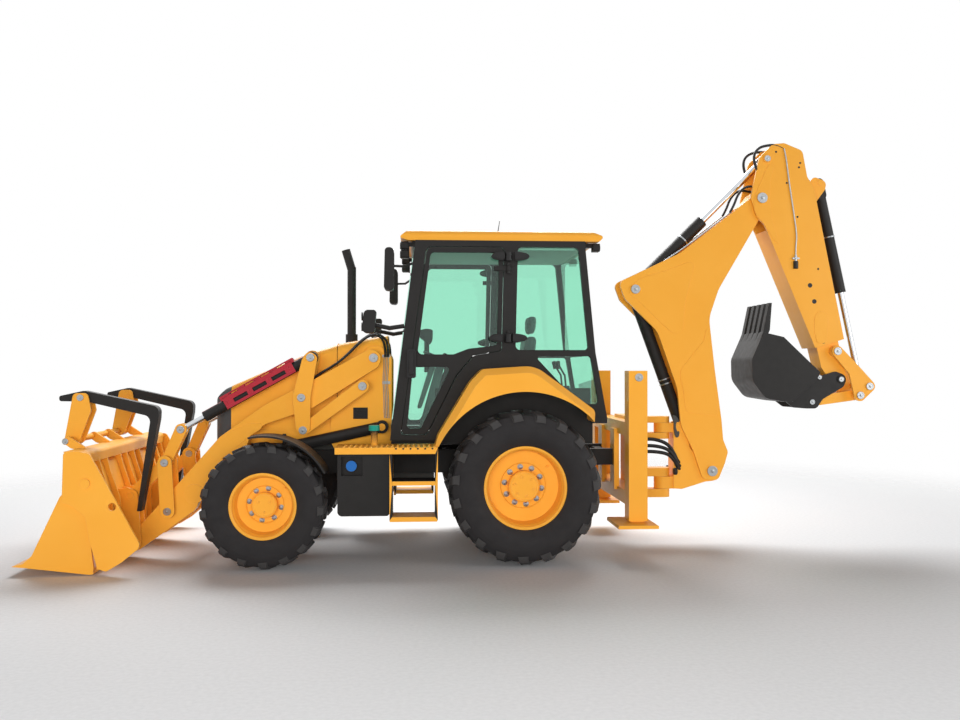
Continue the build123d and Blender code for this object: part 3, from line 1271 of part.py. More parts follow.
def hoe_ram_barrel():
    solid = rod(along(BUCKET_RAM_BASE, ROCKER_RAM_PIN, 60),
                along(BUCKET_RAM_BASE, ROCKER_RAM_PIN, HOE_BARREL_LENGTH), 52, 0)
    solid += link(BUCKET_RAM_BASE, 46, along(BUCKET_RAM_BASE, ROCKER_RAM_PIN, 120), 46, -50, 50)
    solid -= pin(BUCKET_RAM_BASE, 30 + PIN_GAP, -100, 100)
    bore = rod(along(BUCKET_RAM_BASE, ROCKER_RAM_PIN, HOE_BARREL_FLOOR),
               along(BUCKET_RAM_BASE, ROCKER_RAM_PIN, HOE_BARREL_LENGTH + 5), 30 + PIN_GAP, 0)
    return solid - bore


def hoe_ram_rod():
    return ram_rod(BUCKET_RAM_BASE, ROCKER_RAM_PIN, 48, 30, HOE_ROD_START, 0, 50)


def rocker_links():
    """Two curved cheeks from the stick to the ram and link pins."""
    low = STICK_HALF_WIDTH + 6
    elbow = (-3285, 1660)
    pair = link(ROCKER_PIN, 52, elbow, 60, low, low + 22)
    pair += link(elbow, 60, ROCKER_RAM_PIN, ROCKER_END, low, low + 22)
    pair += link(elbow, 56, ROCKER_LINK_PIN, ROCKER_END, low, low + 22)
    pair += link(ROCKER_RAM_PIN, ROCKER_END, ROCKER_LINK_PIN, ROCKER_END - 0.5, low, low + 22)
    pair += pin(ROCKER_RAM_PIN, 30, 58, low + 34)
    pair = both_sides(pair) + pin(ROCKER_PIN, 36, -low - 30, low + 30)
    return pair - pin(ROCKER_LINK_PIN, 30 + PIN_GAP, -300, 300)


def bucket_link():
    solid = link(ROCKER_LINK_PIN, 50, BUCKET_LINK_PIN, 46, -80, 80)
    solid += pin(ROCKER_LINK_PIN, 30, -STICK_HALF_WIDTH - 40, STICK_HALF_WIDTH + 40)
    return solid


def hoe_shell_face(inset):
    """Bucket interior outline, lip to back, drawn in by inset."""
    return profile([
        (-2350 - inset, 2020), (-2236 - inset, 1764 + inset * 0.2, 100), (-2240 - inset, 1560 + inset, 150),
        (-2370 - inset * 0.3, 1392 + inset, 120), (-2620, 1352 + inset, 60), (-2860, 1560 + inset, 40), (-2900, 1640 + inset),
        (-2545, 1975),
    ])


def hoe_bucket():
    """Digging bucket with its quick coupler, side cutters and teeth."""
    shell = slab(hoe_shell_face(0), -HOE_BUCKET_HALF, HOE_BUCKET_HALF)
    scoop = profile([
        (-2376, 2060), (-2258, 1768, 90), (-2262, 1566, 130), (-2384, 1414, 110), (-2612, 1376, 50),
        (-2840, 1574, 30), (-2900, 1720), (-2560, 2030),
    ])
    shell -= slab(scoop, -HOE_BUCKET_HALF + 20, HOE_BUCKET_HALF - 20)
    ears = plate([
        (-2600, 1376), (-2850, 1590), (-2960, 1600, 30), (-3120, 1650, 60), (-3240, 1600, 60), (-3200, 1500, 60),
        (-2990, 1380, 60), (-2930, 1290, 50), (-2830, 1290, 50), (-2700, 1300, 40),
    ], INNER_STICK_HALF + 8, INNER_STICK_HALF + 30)
    tie = plate([(-2620, 1358), (-2850, 1560), (-2900, 1500), (-2760, 1360)], -INNER_STICK_HALF - 10, INNER_STICK_HALF + 10)
    whole = shell + both_sides(ears) + tie
    whole += pin(BUCKET_PIN, 36, -INNER_STICK_HALF - 44, INNER_STICK_HALF + 44)
    for y in (-260, -130, 0, 130, 260):
        whole += plate([(-2318, 1950), (-2347, 2024), (-2405, 2298), (-2432, 2298), (-2412, 2040), (-2370, 1950)],
                       y - 34, y + 34)
    return whole


NODES = {
    "main_frame": main_frame,
    "axles": axles,
    "engine": engine,
    "exhaust": exhaust,
    "grille": grille,
    "hood": hood,
    "side_tanks": side_tanks,
    "cab_frame": cab_frame,
    "cab_roof": cab_roof,
    "cab_glass": cab_glass,
    "operator_station": operator_station,
    "body_panels": body_panels,
    "rear_frame": rear_frame,
    "door_left": lambda: door(1),
    "door_right": lambda: door(-1),
    "door_glass_left": lambda: door_glass(1),
    "door_glass_right": lambda: door_glass(-1),
    "knuckle_left": lambda: knuckle(1),
    "knuckle_right": lambda: knuckle(-1),
    "front_tyre_left": lambda: front_tyre(1),
    "front_tyre_right": lambda: front_tyre(-1),
    "front_rim_left": lambda: front_rim(1),
    "front_rim_right": lambda: front_rim(-1),
    "rear_tyre_left": lambda: rear_tyre(1),
    "rear_tyre_right": lambda: rear_tyre(-1),
    "rear_rim_left": lambda: rear_rim(1),
    "rear_rim_right": lambda: rear_rim(-1),
    "loader_arms": loader_arms,
    "lift_barrels": lift_barrels,
    "lift_rods": lift_rods,
    "lower_links": lower_links,
    "bellcranks": bellcranks,
    "tilt_pins": tilt_pins,
    "tilt_barrels": tilt_barrels,
    "tilt_rods": tilt_rods,
    "hinge_pins": hinge_pins,
    "lower_link_pins": lower_link_pins,
    "upper_link_pins": upper_link_pins,
    "short_links": short_links,
    "levers": levers,
    "loader_bucket": loader_bucket,
    "clam": clam,
    "fork_carriers": fork_carriers,
    "fork_tines": fork_tines,
    "stabilizer_left": lambda: stabilizer(1),
    "stabilizer_right": lambda: stabilizer(-1),
    "carriage": carriage,
    "swing_frame": swing_frame,
    "boom": boom,
    "boom_ram_barrel": boom_ram_barrel,
    "boom_ram_rod": boom_ram_rod,
    "stick_ram_barrel": stick_ram_barrel,
    "stick_ram_rod": stick_ram_rod,
    "stick_outer": stick_outer,
    "stick_inner": stick_inner,
    "hoe_ram_barrel": hoe_ram_barrel,
    "hoe_ram_rod": hoe_ram_rod,
    "rocker_links": rocker_links,
    "bucket_link": bucket_link,
    "hoe_bucket": hoe_bucket,
}


def main():
    os.makedirs("parts", exist_ok=True)
    for name, make in NODES.items():
        solid = Pos(SHIFT_X, 0, 0) * make()
        export_step(solid, f"parts/{name}.step")


if __name__ == "__main__":
    main()
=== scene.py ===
# %% [markdown]
# # Dressing a backhoe loader
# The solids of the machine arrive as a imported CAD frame: every part already has its place and its joints.
# This lesson gives them paint, glass and rubber, and adds the small things that make a machine look real:
# treads, wheel nuts, pin heads, hoses, lamps, a padded seat. Nothing here moves or reshapes a CAD part.

# %% Load the frame
import json
import math

import bmesh
import bpy
from mathutils import Matrix, Vector

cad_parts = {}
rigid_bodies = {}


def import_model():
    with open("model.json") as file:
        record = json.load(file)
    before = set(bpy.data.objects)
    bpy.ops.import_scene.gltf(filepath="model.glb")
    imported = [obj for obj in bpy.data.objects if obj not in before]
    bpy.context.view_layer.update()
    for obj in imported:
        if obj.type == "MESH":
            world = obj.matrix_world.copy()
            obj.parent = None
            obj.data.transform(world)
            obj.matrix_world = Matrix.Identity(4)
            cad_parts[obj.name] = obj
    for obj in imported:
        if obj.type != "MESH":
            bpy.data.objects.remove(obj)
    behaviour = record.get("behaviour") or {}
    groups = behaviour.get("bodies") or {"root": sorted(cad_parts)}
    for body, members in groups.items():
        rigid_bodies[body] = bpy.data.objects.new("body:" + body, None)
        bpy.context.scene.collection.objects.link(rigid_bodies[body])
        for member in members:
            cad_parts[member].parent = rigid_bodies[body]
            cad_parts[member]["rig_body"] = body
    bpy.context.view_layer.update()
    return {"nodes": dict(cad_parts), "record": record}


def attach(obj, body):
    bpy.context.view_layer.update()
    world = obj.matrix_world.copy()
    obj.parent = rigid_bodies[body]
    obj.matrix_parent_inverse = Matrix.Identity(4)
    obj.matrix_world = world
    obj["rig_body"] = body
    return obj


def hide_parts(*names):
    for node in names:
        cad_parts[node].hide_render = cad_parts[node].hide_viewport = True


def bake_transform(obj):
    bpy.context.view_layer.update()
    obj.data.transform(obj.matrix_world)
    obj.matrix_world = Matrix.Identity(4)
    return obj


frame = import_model()
NODES = frame["nodes"]

# %% [markdown]
# ## Places and colours
# The CAD source measures from the rear axle, in millimetres, so the same numbers are used here and one
# function turns them into metres in the part's frame. Colours are written as sRGB hex, as a paint chart
# gives them, and one function makes them linear, which is what the shaders take. A few more join the nodes
# that several finishes share.

# %% Places and colours
REAR_AXLE_X = -0.346
FORWARD = Vector((1, 0, 0))
LEFT = Vector((0, 1, 0))
UP = Vector((0, 0, 1))
MIX_SHARE, MIX_FIRST, MIX_SECOND = 0, 6, 7
MIX_RESULT = 2


def spot(x, y, z):
    """Millimetres from the point under the rear axle, as metres in the part's frame."""
    return Vector((x / 1000 + REAR_AXLE_X, y / 1000, z / 1000))


def linear(code):
    """An sRGB hex colour as linear red, green, blue and alpha."""
    shares = [int(code[i:i + 2], 16) / 255 for i in (1, 3, 5)]
    shares = [s / 12.92 if s <= 0.04045 else ((s + 0.055) / 1.055) ** 2.4 for s in shares]
    return (*shares, 1.0)


def add(tree, kind, feeds=None, **settings):
    """Adds one shader node: settings are its options, feeds its sockets as values or links."""
    item = tree.nodes.new(kind)
    for name, value in settings.items():
        setattr(item, name, value)
    for socket, value in (feeds or {}).items():
        if isinstance(value, bpy.types.NodeSocket):
            tree.links.new(value, item.inputs[socket])
        else:
            item.inputs[socket].default_value = value
    return item


def surface(name, values):
    """A material with one principled shader on its output."""
    material = bpy.data.materials.new(name)
    material.use_nodes = True
    tree = material.node_tree
    tree.nodes.clear()
    shader = add(tree, "ShaderNodeBsdfPrincipled", values)
    add(tree, "ShaderNodeOutputMaterial", {"Surface": shader.outputs[0]})
    return material, tree, shader


def per_metre(size_mm):
    """The texture scale at which one feature is that many millimetres wide."""
    return 1000 / size_mm


def two_tone(tree, place, size_mm, detail, dark, light):
    """Soft patches of two colours, about that many millimetres wide."""
    sizes = {"Vector": place, "Scale": per_metre(size_mm), "Detail": detail}
    patches = add(tree, "ShaderNodeTexNoise", sizes)
    tones = {MIX_SHARE: patches.outputs[0], MIX_FIRST: linear(dark), MIX_SECOND: linear(light)}
    return add(tree, "ShaderNodeMix", tones, data_type="RGBA").outputs[MIX_RESULT]


def wire(tree, shader, colour, gloss, bump):
    """Links a colour, a roughness and a bump to a shader."""
    sources = {"Base Color": colour, "Roughness": gloss.outputs[0], "Normal": bump.outputs[0]}
    for socket, source in sources.items():
        tree.links.new(source, shader.inputs[socket])


def show_mix(tree, share, first, second):
    """Sends a mix of two shaders to the material's output."""
    both = add(tree, "ShaderNodeMixShader", {0: share, 1: first.outputs[0], 2: second.outputs[0]})
    output = next(n for n in tree.nodes if n.type == "OUTPUT_MATERIAL")
    tree.links.new(both.outputs[0], output.inputs["Surface"])


# %% [markdown]
# ## A skin for sprayed, moulded and cast parts
# Every coated surface has three scales of detail: clouds of colour a hand wide, a fine grain from the
# spray or the mould, and a painted highlight along its edges, a lighter colour that stands for light caught
# there. They could be painted as images; noise textures in object space need no unwrapping and stay sharp at
# any distance. The bevel node rounds the look of the CAD's sharp edges, and where its normal leaves the true
# one there is an edge, which is painted lighter as a highlight.

# %% A skin with clouds, grain and painted edge highlights
EDGE_RADIUS = 0.004
GLOSS_PATCH_MM = 60


def skin(name, dark, light, edge, grain_mm, grain_height, rough, cloud_mm=350, **values):
    """A coated surface: colour clouds, bumpy grain, varied roughness and a painted highlight on its edges."""
    material, tree, shader = surface(name, {key.replace("_", " "): value for key, value in values.items()})
    place = add(tree, "ShaderNodeTexCoord").outputs["Object"]
    body = two_tone(tree, place, cloud_mm, 5.0, dark, light)
    rounded = add(tree, "ShaderNodeBevel", {"Radius": EDGE_RADIUS}, samples=4)
    true = add(tree, "ShaderNodeNewGeometry")
    lean = add(tree, "ShaderNodeVectorMath", {0: rounded.outputs[0], 1: true.outputs["Normal"]},
               operation="DOT_PRODUCT")
    # Painted highlight: the lighter edge colour is mixed in where the bevel normal leaves the true one.
    painted_edge_highlight = add(tree, "ShaderNodeMapRange", {
        "Value": lean.outputs["Value"], "From Min": 0.985, "From Max": 0.86, "To Min": 0.0, "To Max": 0.75,
    })
    tones = {MIX_SHARE: painted_edge_highlight.outputs[0], MIX_FIRST: body, MIX_SECOND: linear(edge)}
    colour = add(tree, "ShaderNodeMix", tones, data_type="RGBA").outputs[MIX_RESULT]
    patches = add(tree, "ShaderNodeTexNoise", {
        "Vector": place, "Scale": per_metre(GLOSS_PATCH_MM), "Detail": 6.0,
    })
    gloss = add(tree, "ShaderNodeMapRange", {
        "Value": patches.outputs[0], "From Min": 0.25, "From Max": 0.75,
        "To Min": rough[0], "To Max": rough[1],
    })
    grain = add(tree, "ShaderNodeTexNoise", {"Vector": place, "Scale": per_metre(grain_mm), "Detail": 3.0})
    bump = add(tree, "ShaderNodeBump", {
        "Strength": 0.35, "Distance": grain_height / 1000, "Height": grain.outputs[0],
        "Normal": rounded.outputs[0],
    })
    wire(tree, shader, colour, gloss, bump)
    return material


# %% [markdown]
# ## Paints
# Machine yellow is a two-pack polyurethane enamel sprayed on primed steel: satin gloss with a faint
# orange peel of 1 to 2 mm, drawn here at 6 mm so that it shows. The black is a textured powder coat,
# which scatters light more. Clear coat values stay low because new works paint is not car paint.

# %% Paints
YELLOW_ENAMEL = skin("yellow_enamel", "#F6A934", "#FDB543", "#FFCB74", 6, 0.25, (0.36, 0.48),
                     IOR=1.5, Specular_IOR_Level=0.35, Coat_Weight=0.08, Coat_Roughness=0.2)
BLACK_POWDER_COAT = skin("black_powder_coat", "#1F1E1D", "#282625", "#454341", 4, 0.5, (0.45, 0.6), IOR=1.5,
                         Specular_IOR_Level=0.3)
RED_ENAMEL = skin("red_enamel", "#A81E2E", "#B82838", "#D05A66", 6, 0.25, (0.32, 0.42), IOR=1.5)
CAST_IRON = skin("painted_cast_iron", "#3A3937", "#4A4946", "#6A6864", 9, 1.4, (0.55, 0.75), IOR=1.5)
print("paints", YELLOW_ENAMEL.name, BLACK_POWDER_COAT.name, RED_ENAMEL.name, CAST_IRON.name)

# %% [markdown]
# ## Plastics and rubber
# The nose, the lamp shells and the cab trim are moulded ABS with a spark-eroded grain of about 1.5 mm.
# Tyres are carbon-black rubber, cured in a steel mould: matt, never fully black, with a bloom of grey.
# Their bars are painted a paler rubber than the carcass, a painted highlight for lit faces, and the darker
# carcass between them is painted shade.
# Hoses are smooth extruded rubber. The caps are coloured polypropylene.

# %% Plastics and rubber
GRAINED_ABS = skin("grained_abs", "#3B3A3A", "#454443", "#5A5957", 3, 0.6, (0.45, 0.6), IOR=1.53)
BLACK_ABS = skin("black_abs", "#191818", "#201F1F", "#383736", 3, 0.5, (0.38, 0.5), IOR=1.53,
                 Specular_IOR_Level=0.35)
CAB_TRIM = skin("grey_cab_trim", "#5E6163", "#6B6E70", "#85888A", 3, 0.6, (0.5, 0.65), IOR=1.53)
TYRE_RUBBER = skin("tyre_rubber", "#242223", "#2E2C2C", "#454343", 5, 0.9, (0.62, 0.82), cloud_mm=120,
                   IOR=1.52, Specular_IOR_Level=0.3)
# Painted highlight: the bars get a paler rubber than the carcass so that they read as lit.
LUG_RUBBER_PAINTED_LIGHTER = skin("lug_rubber_painted_lighter", "#2D2B2B", "#383635", "#5E5B59", 5, 0.9, (0.5, 0.7), cloud_mm=120,
                  IOR=1.52, Specular_IOR_Level=0.5)
HOSE_RUBBER = skin("hose_rubber", "#171717", "#1F1F1F", "#303030", 2, 0.2, (0.4, 0.55), IOR=1.52,
                   Specular_IOR_Level=0.35)
TEAL_CAP = skin("teal_polypropylene", "#0F8C7A", "#149A86", "#5CC4B4", 3, 0.3, (0.35, 0.45), IOR=1.49)
BLUE_CAP = skin("blue_polypropylene", "#1B5FA8", "#226CBA", "#6FA2D8", 3, 0.3, (0.35, 0.45), IOR=1.49)
AMBER_LENS = skin("amber_acrylic", "#C8600C", "#D8741A", "#F0A050", 8, 0.2, (0.12, 0.2), IOR=1.49)
print("plastics", GRAINED_ABS.name, TYRE_RUBBER.name, HOSE_RUBBER.name)

# %% [markdown]
# ## Metals
# Ram rods are ground and hard-chrome plated: nearly a mirror, with turned lines too fine to see, drawn
# at 5 mm. Pins and nuts are zinc-plated steel, a duller grey. Both keep the default IOR of a metal.

# %% Metals
METAL_CLOUD_MM = 80


def metal(name, dark, light, grain_mm, rough):
    """Bare or plated metal, with a cloudy tint and a roughness that varies along its grain."""
    material, tree, shader = surface(name, {"Metallic": 1.0})
    place = add(tree, "ShaderNodeTexCoord").outputs["Object"]
    tint = two_tone(tree, place, METAL_CLOUD_MM, 4.0, dark, light)
    grain = add(tree, "ShaderNodeTexNoise", {"Vector": place, "Scale": per_metre(grain_mm), "Detail": 2.0})
    gloss = add(tree, "ShaderNodeMapRange", {
        "Value": grain.outputs[0], "To Min": rough[0], "To Max": rough[1],
    })
    bump = add(tree, "ShaderNodeBump", {"Strength": 0.12, "Distance": 0.0004, "Height": grain.outputs[0]})
    wire(tree, shader, tint, gloss, bump)
    return material


HARD_CHROME = metal("hard_chrome", "#C9CCD0", "#E2E5E8", 5, (0.06, 0.16))
ZINC_STEEL = metal("zinc_steel", "#9FA3A6", "#C2C6C8", 4, (0.25, 0.42))
MIRROR_GLASS = metal("silvered_glass", "#C8D0D2", "#D4DCDE", 200, (0.02, 0.04))
print("metals", HARD_CHROME.name, ZINC_STEEL.name)

# %% [markdown]
# ## Glass
# The windows are tempered float glass with a green heat-absorbing tint, IOR 1.52. Plain glass would shut
# the lamps out of the cab, because light bent by glass is hard to sample, so shadow rays pass straight
# through with the same tint. The lamps have clear polycarbonate lenses, moulded with fine flutes.

# %% Glass
def window(name, tint, clear):
    """See-through glass: what is seen is tinted, and lamp light passes with a paler tint."""
    material, tree, shader = surface(name, {
        "Base Color": linear(tint), "Roughness": 0.01, "IOR": 1.52, "Transmission Weight": 1.0,
    })
    path = add(tree, "ShaderNodeLightPath")
    clear_pass = add(tree, "ShaderNodeBsdfTransparent", {"Color": linear(clear)})
    show_mix(tree, path.outputs["Is Shadow Ray"], shader, clear_pass)
    return material


GREEN_GLASS = window("green_tinted_glass", "#C4F2E0", "#DDF8EE")
CLEAR_LENS = window("clear_lens", "#F4F7F8", "#FFFFFF")
print("glass", GREEN_GLASS.name, CLEAR_LENS.name)

# %% [markdown]
# ## The camera
# The photograph is a straight side view from about nine metres. Two known lengths, the wheelbase and the
# tyre height, fix the lens and the place, so every CAD edge falls on its pixel.

# %% The camera
def new_object(name, data):
    """An object in the scene for some data."""
    made = bpy.data.objects.new(name, data)
    bpy.context.scene.collection.objects.link(made)
    return made


CAMERA_PLACE = Vector((0.590, 9.029, 1.671))
YAW = 0.068358
PITCH = 0.0095917
lens = bpy.data.cameras.new("camera")
lens.sensor_width = 36.0
lens.lens = 35.45
camera = new_object("camera", lens)
gaze = Vector((-math.sin(YAW) * math.cos(PITCH), -math.cos(YAW) * math.cos(PITCH), math.sin(PITCH)))
camera.location = CAMERA_PLACE
camera.rotation_euler = gaze.to_track_quat("-Z", "Y").to_euler()
bpy.context.scene.camera = camera
bpy.context.scene.view_settings.view_transform = "Standard"
print("camera at", tuple(camera.location))

# %% [markdown]
# ## Studio
# A studio sweep is a pale floor that loses itself in a white wall. Here the floor fades out with distance
# from the machine, and behind it the world is white to the camera, to metal and to glass, while the light
# that it gives is kept lower. Three big soft lamps stand for the studio's ceiling and side panels.

# %% Studio
FLOOR_HALF = 40.0
FLOOR_CLEAR_FROM = 4.2
FLOOR_CLEAR_TO = 10.0
SPECKLE_MM = 30


def studio_floor():
    """A pale floor that keeps the shadow and fades out into the white world."""
    material, tree, shader = surface("studio_floor", {"Roughness": 0.7})
    place = add(tree, "ShaderNodeTexCoord").outputs["Object"]
    tone = two_tone(tree, place, SPECKLE_MM, 8.0, "#D2D2D3", "#E6E6E7")
    tree.links.new(tone, shader.inputs["Base Color"])
    away = add(tree, "ShaderNodeVectorMath", {0: place}, operation="LENGTH")
    fade = add(tree, "ShaderNodeMapRange", {
        "Value": away.outputs["Value"], "From Min": FLOOR_CLEAR_FROM, "From Max": FLOOR_CLEAR_TO,
    }, interpolation_type="SMOOTHSTEP")
    nothing = add(tree, "ShaderNodeBsdfTransparent")
    show_mix(tree, fade.outputs[0], shader, nothing)
    return material


floor_mesh = bpy.data.meshes.new("floor")
corners = [(x * FLOOR_HALF, y * FLOOR_HALF, 0) for x, y in ((-1, -1), (1, -1), (1, 1), (-1, 1))]
floor_mesh.from_pydata(corners, [], [(0, 1, 2, 3)])
floor_mesh.materials.append(studio_floor())
floor = new_object("floor", floor_mesh)

AMBIENT = 0.08
world = bpy.data.worlds.new("studio")
world.use_nodes = True
sky = world.node_tree
sky.nodes.clear()
rays = add(sky, "ShaderNodeLightPath")
seen = add(sky, "ShaderNodeMath", {0: rays.outputs["Is Camera Ray"], 1: rays.outputs["Is Glossy Ray"]},
           operation="MAXIMUM")
seen = add(sky, "ShaderNodeMath", {0: seen.outputs[0], 1: rays.outputs["Is Transmission Ray"]},
           operation="MAXIMUM")
glow = add(sky, "ShaderNodeBackground", {"Color": (1, 1, 1, 1), "Strength": AMBIENT})
white = add(sky, "ShaderNodeBackground", {"Color": (1, 1, 1, 1), "Strength": 1.0})
either = add(sky, "ShaderNodeMixShader", {0: seen.outputs[0], 1: glow.outputs[0], 2: white.outputs[0]})
add(sky, "ShaderNodeOutputWorld", {"Surface": either.outputs[0]})
bpy.context.scene.world = world


def soft_lamp(name, place, aim, size, watts):
    """A big square softbox."""
    data = bpy.data.lights.new(name, "AREA")
    data.shape = "RECTANGLE"
    data.size = size[0]
    data.size_y = size[1]
    data.energy = watts
    lamp = new_object(name, data)
    lamp.location = place
    lamp.rotation_euler = (Vector(aim) - Vector(place)).to_track_quat("-Z", "Y").to_euler()
    return lamp


soft_lamp("ceiling_panel", (0.3, -5.5, 8.5), (0, 0.5, 0), (10, 5), 1500)
front = soft_lamp("front_panel", (1.5, 13.0, 2.0), (0.0, 0, 1.6), (9, 3.2), 1120)
front.visible_glossy = False
front.visible_transmission = False
soft_lamp("rear_panel", (-8.0, 5.0, 3.0), (-1.5, 0, 1.8), (4, 4), 150)
print("floor, world and lamps are set")

# %% [markdown]
# ## Finishes on the CAD parts
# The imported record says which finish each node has. Some nodes hold more than one: a step box has yellow
# treads, the frame's rails are black, a ram carries a red brace. The mesh of a CAD part stays as it is,
# but each of its faces may point to another material, chosen by where the face lies.

# %% Finishes on the CAD parts
FINISH = {
    "yellow_paint": YELLOW_ENAMEL, "black_paint": BLACK_POWDER_COAT, "tyre_rubber": TYRE_RUBBER,
    "chrome_rod": HARD_CHROME, "steel_pin": ZINC_STEEL, "cab_glass": GREEN_GLASS,
    "trim_plastic": GRAINED_ABS, "cast_block": CAST_IRON,
}
for part in frame["record"]["subparts"]:
    mesh = NODES[part["node"]].data
    mesh.materials.clear()
    mesh.materials.append(FINISH[part["material_slot"]])


def repaint(node, finish, chosen):
    """Gives another finish to the faces of a CAD node that are chosen by (x, y, z) in mm and normal."""
    mesh = NODES[node].data
    mesh.materials.append(finish)
    index = len(mesh.materials) - 1
    count = 0
    for face in mesh.polygons:
        x = (face.center.x - REAR_AXLE_X) * 1000
        if chosen(x, face.center.y * 1000, face.center.z * 1000, face.normal):
            face.material_index = index
            count += 1
    print("repainted", count, "faces of", node)


TILT_PIN = (1865, 1773)
TILT_RAM_SLOPE = -0.559


def above_tilt_ram(x, y, z, n):
    """Chooses the faces of the left tilt ram that the red brace covers."""
    return y > 0 and z - TILT_PIN[1] > TILT_RAM_SLOPE * (x - TILT_PIN[0]) + 50


repaint("main_frame", BLACK_POWDER_COAT, lambda x, y, z, n: abs(y) < 330 and z < 940)
repaint("side_tanks", YELLOW_ENAMEL, lambda x, y, z, n: z > 968 and z < 1075 or (x < 1145 and 660 < z < 725))
repaint("side_tanks", YELLOW_ENAMEL, lambda x, y, z, n: x < 1145 and 370 < z < 440)
repaint("side_tanks", TEAL_CAP, lambda x, y, z, n: z > 1134 and abs(abs(y) - 800) < 60)
repaint("side_tanks", BLUE_CAP, lambda x, y, z, n: math.hypot(x - 1475, z - 850) < 47 and 930 < y < 990)
repaint("hood", BLACK_ABS, lambda x, y, z, n: 2306 < x and n.z > 0.2 and abs(y) < 235)
repaint("tilt_barrels", RED_ENAMEL, above_tilt_ram)

# %% [markdown]
# ## Tools for new pieces
# New pieces are built face by face. Three small tools do most of the work: one turns a line about an
# axis, as on a lathe, one pushes an outline out into a prism, and one wraps the result up as an object
# that rides on a CAD body.

# %% Tools for new pieces
def facing(origin, direction, up=UP):
    """The matrix that puts local Z along a direction and local Y as near to up as it can be."""
    z_axis = Vector(direction).normalized()
    x_axis = Vector(up).cross(z_axis)
    if x_axis.length < 1e-6:
        x_axis = FORWARD.copy()
    x_axis.normalize()
    turn = Matrix((x_axis, z_axis.cross(x_axis), z_axis)).transposed().to_4x4()
    return Matrix.Translation(Vector(origin)) @ turn


def lathe(bm, line, place, steps=32, finish=0):
    """Turns a line of (along, radius), in mm, about local Z."""
    rings = []
    for along, radius in line:
        if radius < 1e-6:
            rings.append([bm.verts.new(place @ Vector((0, 0, along / 1000)))])
            continue
        angles = [2 * math.pi * i / steps for i in range(steps)]
        ring = [Vector((radius * math.cos(a), radius * math.sin(a), along)) / 1000 for a in angles]
        rings.append([bm.verts.new(place @ point) for point in ring])
    for low, high in zip(rings, rings[1:]):
        for i in range(steps):
            j = (i + 1) % steps
            around = [low[i % len(low)], low[j % len(low)], high[j % len(high)], high[i % len(high)]]
            around = list(dict.fromkeys(around))
            if len(around) > 2:
                bm.faces.new(around).material_index = finish


def prism(bm, outline, low, high, place, finish=0):
    """Pushes an outline of (x, y), in mm, out along local Z from low to high."""
    floors = []
    for level in (low, high):
        floors.append([bm.verts.new(place @ (Vector((x, y, level)) / 1000)) for x, y in outline])
    count = len(outline)
    bm.faces.new(floors[0][::-1]).material_index = finish
    bm.faces.new(floors[1]).material_index = finish
    for i in range(count):
        j = (i + 1) % count
        bm.faces.new((floors[0][i], floors[0][j], floors[1][j], floors[1][i])).material_index = finish


def piece(name, bm, finishes, body, bevel_mm=0.0, smooth_deg=38):
    """Wraps built faces up as an object that rides on a body."""
    bmesh.ops.recalc_face_normals(bm, faces=bm.faces[:])
    mesh = bpy.data.meshes.new(name)
    bm.to_mesh(mesh)
    bm.free()
    for finish in finishes:
        mesh.materials.append(finish)
    mesh.shade_smooth()
    mesh.set_sharp_from_angle(angle=math.radians(smooth_deg))
    made = new_object(name, mesh)
    if bevel_mm:
        rounding = made.modifiers.new("rounded_edges", "BEVEL")
        rounding.width = bevel_mm / 1000
        rounding.segments = 2
        rounding.limit_method = "ANGLE"
        rounding.angle_limit = math.radians(35)
        rounding.harden_normals = True
    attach(made, body)
    return made


def oblong(low_x, low_y, high_x, high_y):
    """The corners of a rectangle, in mm."""
    return [(low_x, low_y), (high_x, low_y), (high_x, high_y), (low_x, high_y)]


def chamfered(half_x, half_y, cut_x, cut_y):
    """A rectangle about the origin with its corners cut off, in mm."""
    x = half_x - cut_x
    y = half_y - cut_y
    lower = [(-half_x, -y), (-x, -half_y), (x, -half_y), (half_x, -y)]
    return lower + [(-px, -py) for px, py in lower]


def hexagon(radius):
    """The corners of a bolt head, in mm."""
    return [(radius * math.cos(math.pi * i / 3), radius * math.sin(math.pi * i / 3)) for i in range(6)]


def bolt(bm, place, size, finish=0):
    """A washer, a hexagon head and its domed top; size is the thread in mm."""
    washer = [(0, 1.15 * size), (0.18 * size, 1.15 * size), (0.22 * size, 1.05 * size), (0.22 * size, 0)]
    lathe(bm, washer, place, 20, finish)
    prism(bm, hexagon(0.92 * size), 0.2 * size, 0.8 * size, place, finish)
    lathe(bm, [(0.8 * size, 0.8 * size), (0.9 * size, 0.62 * size), (0.92 * size, 0)], place, 16, finish)


# %% [markdown]
# ## Tyres
# An industrial tractor tyre is cured in one piece: a round carcass with two rows of slanted bars that
# meet alternately at the crown. The CAD tyre is flat-sided to keep its faces few. The piece here keeps
# its size, bar count and slant, and gives the carcass a smooth section with moulded rings and the bars
# bevelled edges. A screw or array modifier could do it, but plain loops keep the bars in phase.

# %% Tyres
SIDES = (("left", 1), ("right", -1))
BAR_SLANT = 0.36
BAR_WIDTH = 0.16
BAR_STATIONS = [(0.0, 0.0), (0.33, 0.03), (0.66, 0.1), (0.80, 0.28), (0.93, 0.75), (0.975, 1.5)]


def smooth_line(points, parts):
    """A Catmull-Rom line through points, with that many parts between neighbours."""
    ends = [points[0]] + points + [points[-1]]
    line = []
    for a, b, c, d in zip(ends, ends[1:], ends[2:], ends[3:]):
        for k in range(parts):
            t = k / parts
            line.append(tuple(
                0.5 * (2 * q + (r - p) * t + (2 * p - 5 * q + 4 * r - s) * t ** 2
                       + (3 * q - p - 3 * r + s) * t ** 3)
                for p, q, r, s in zip(a, b, c, d)))
    return line + [points[-1]]


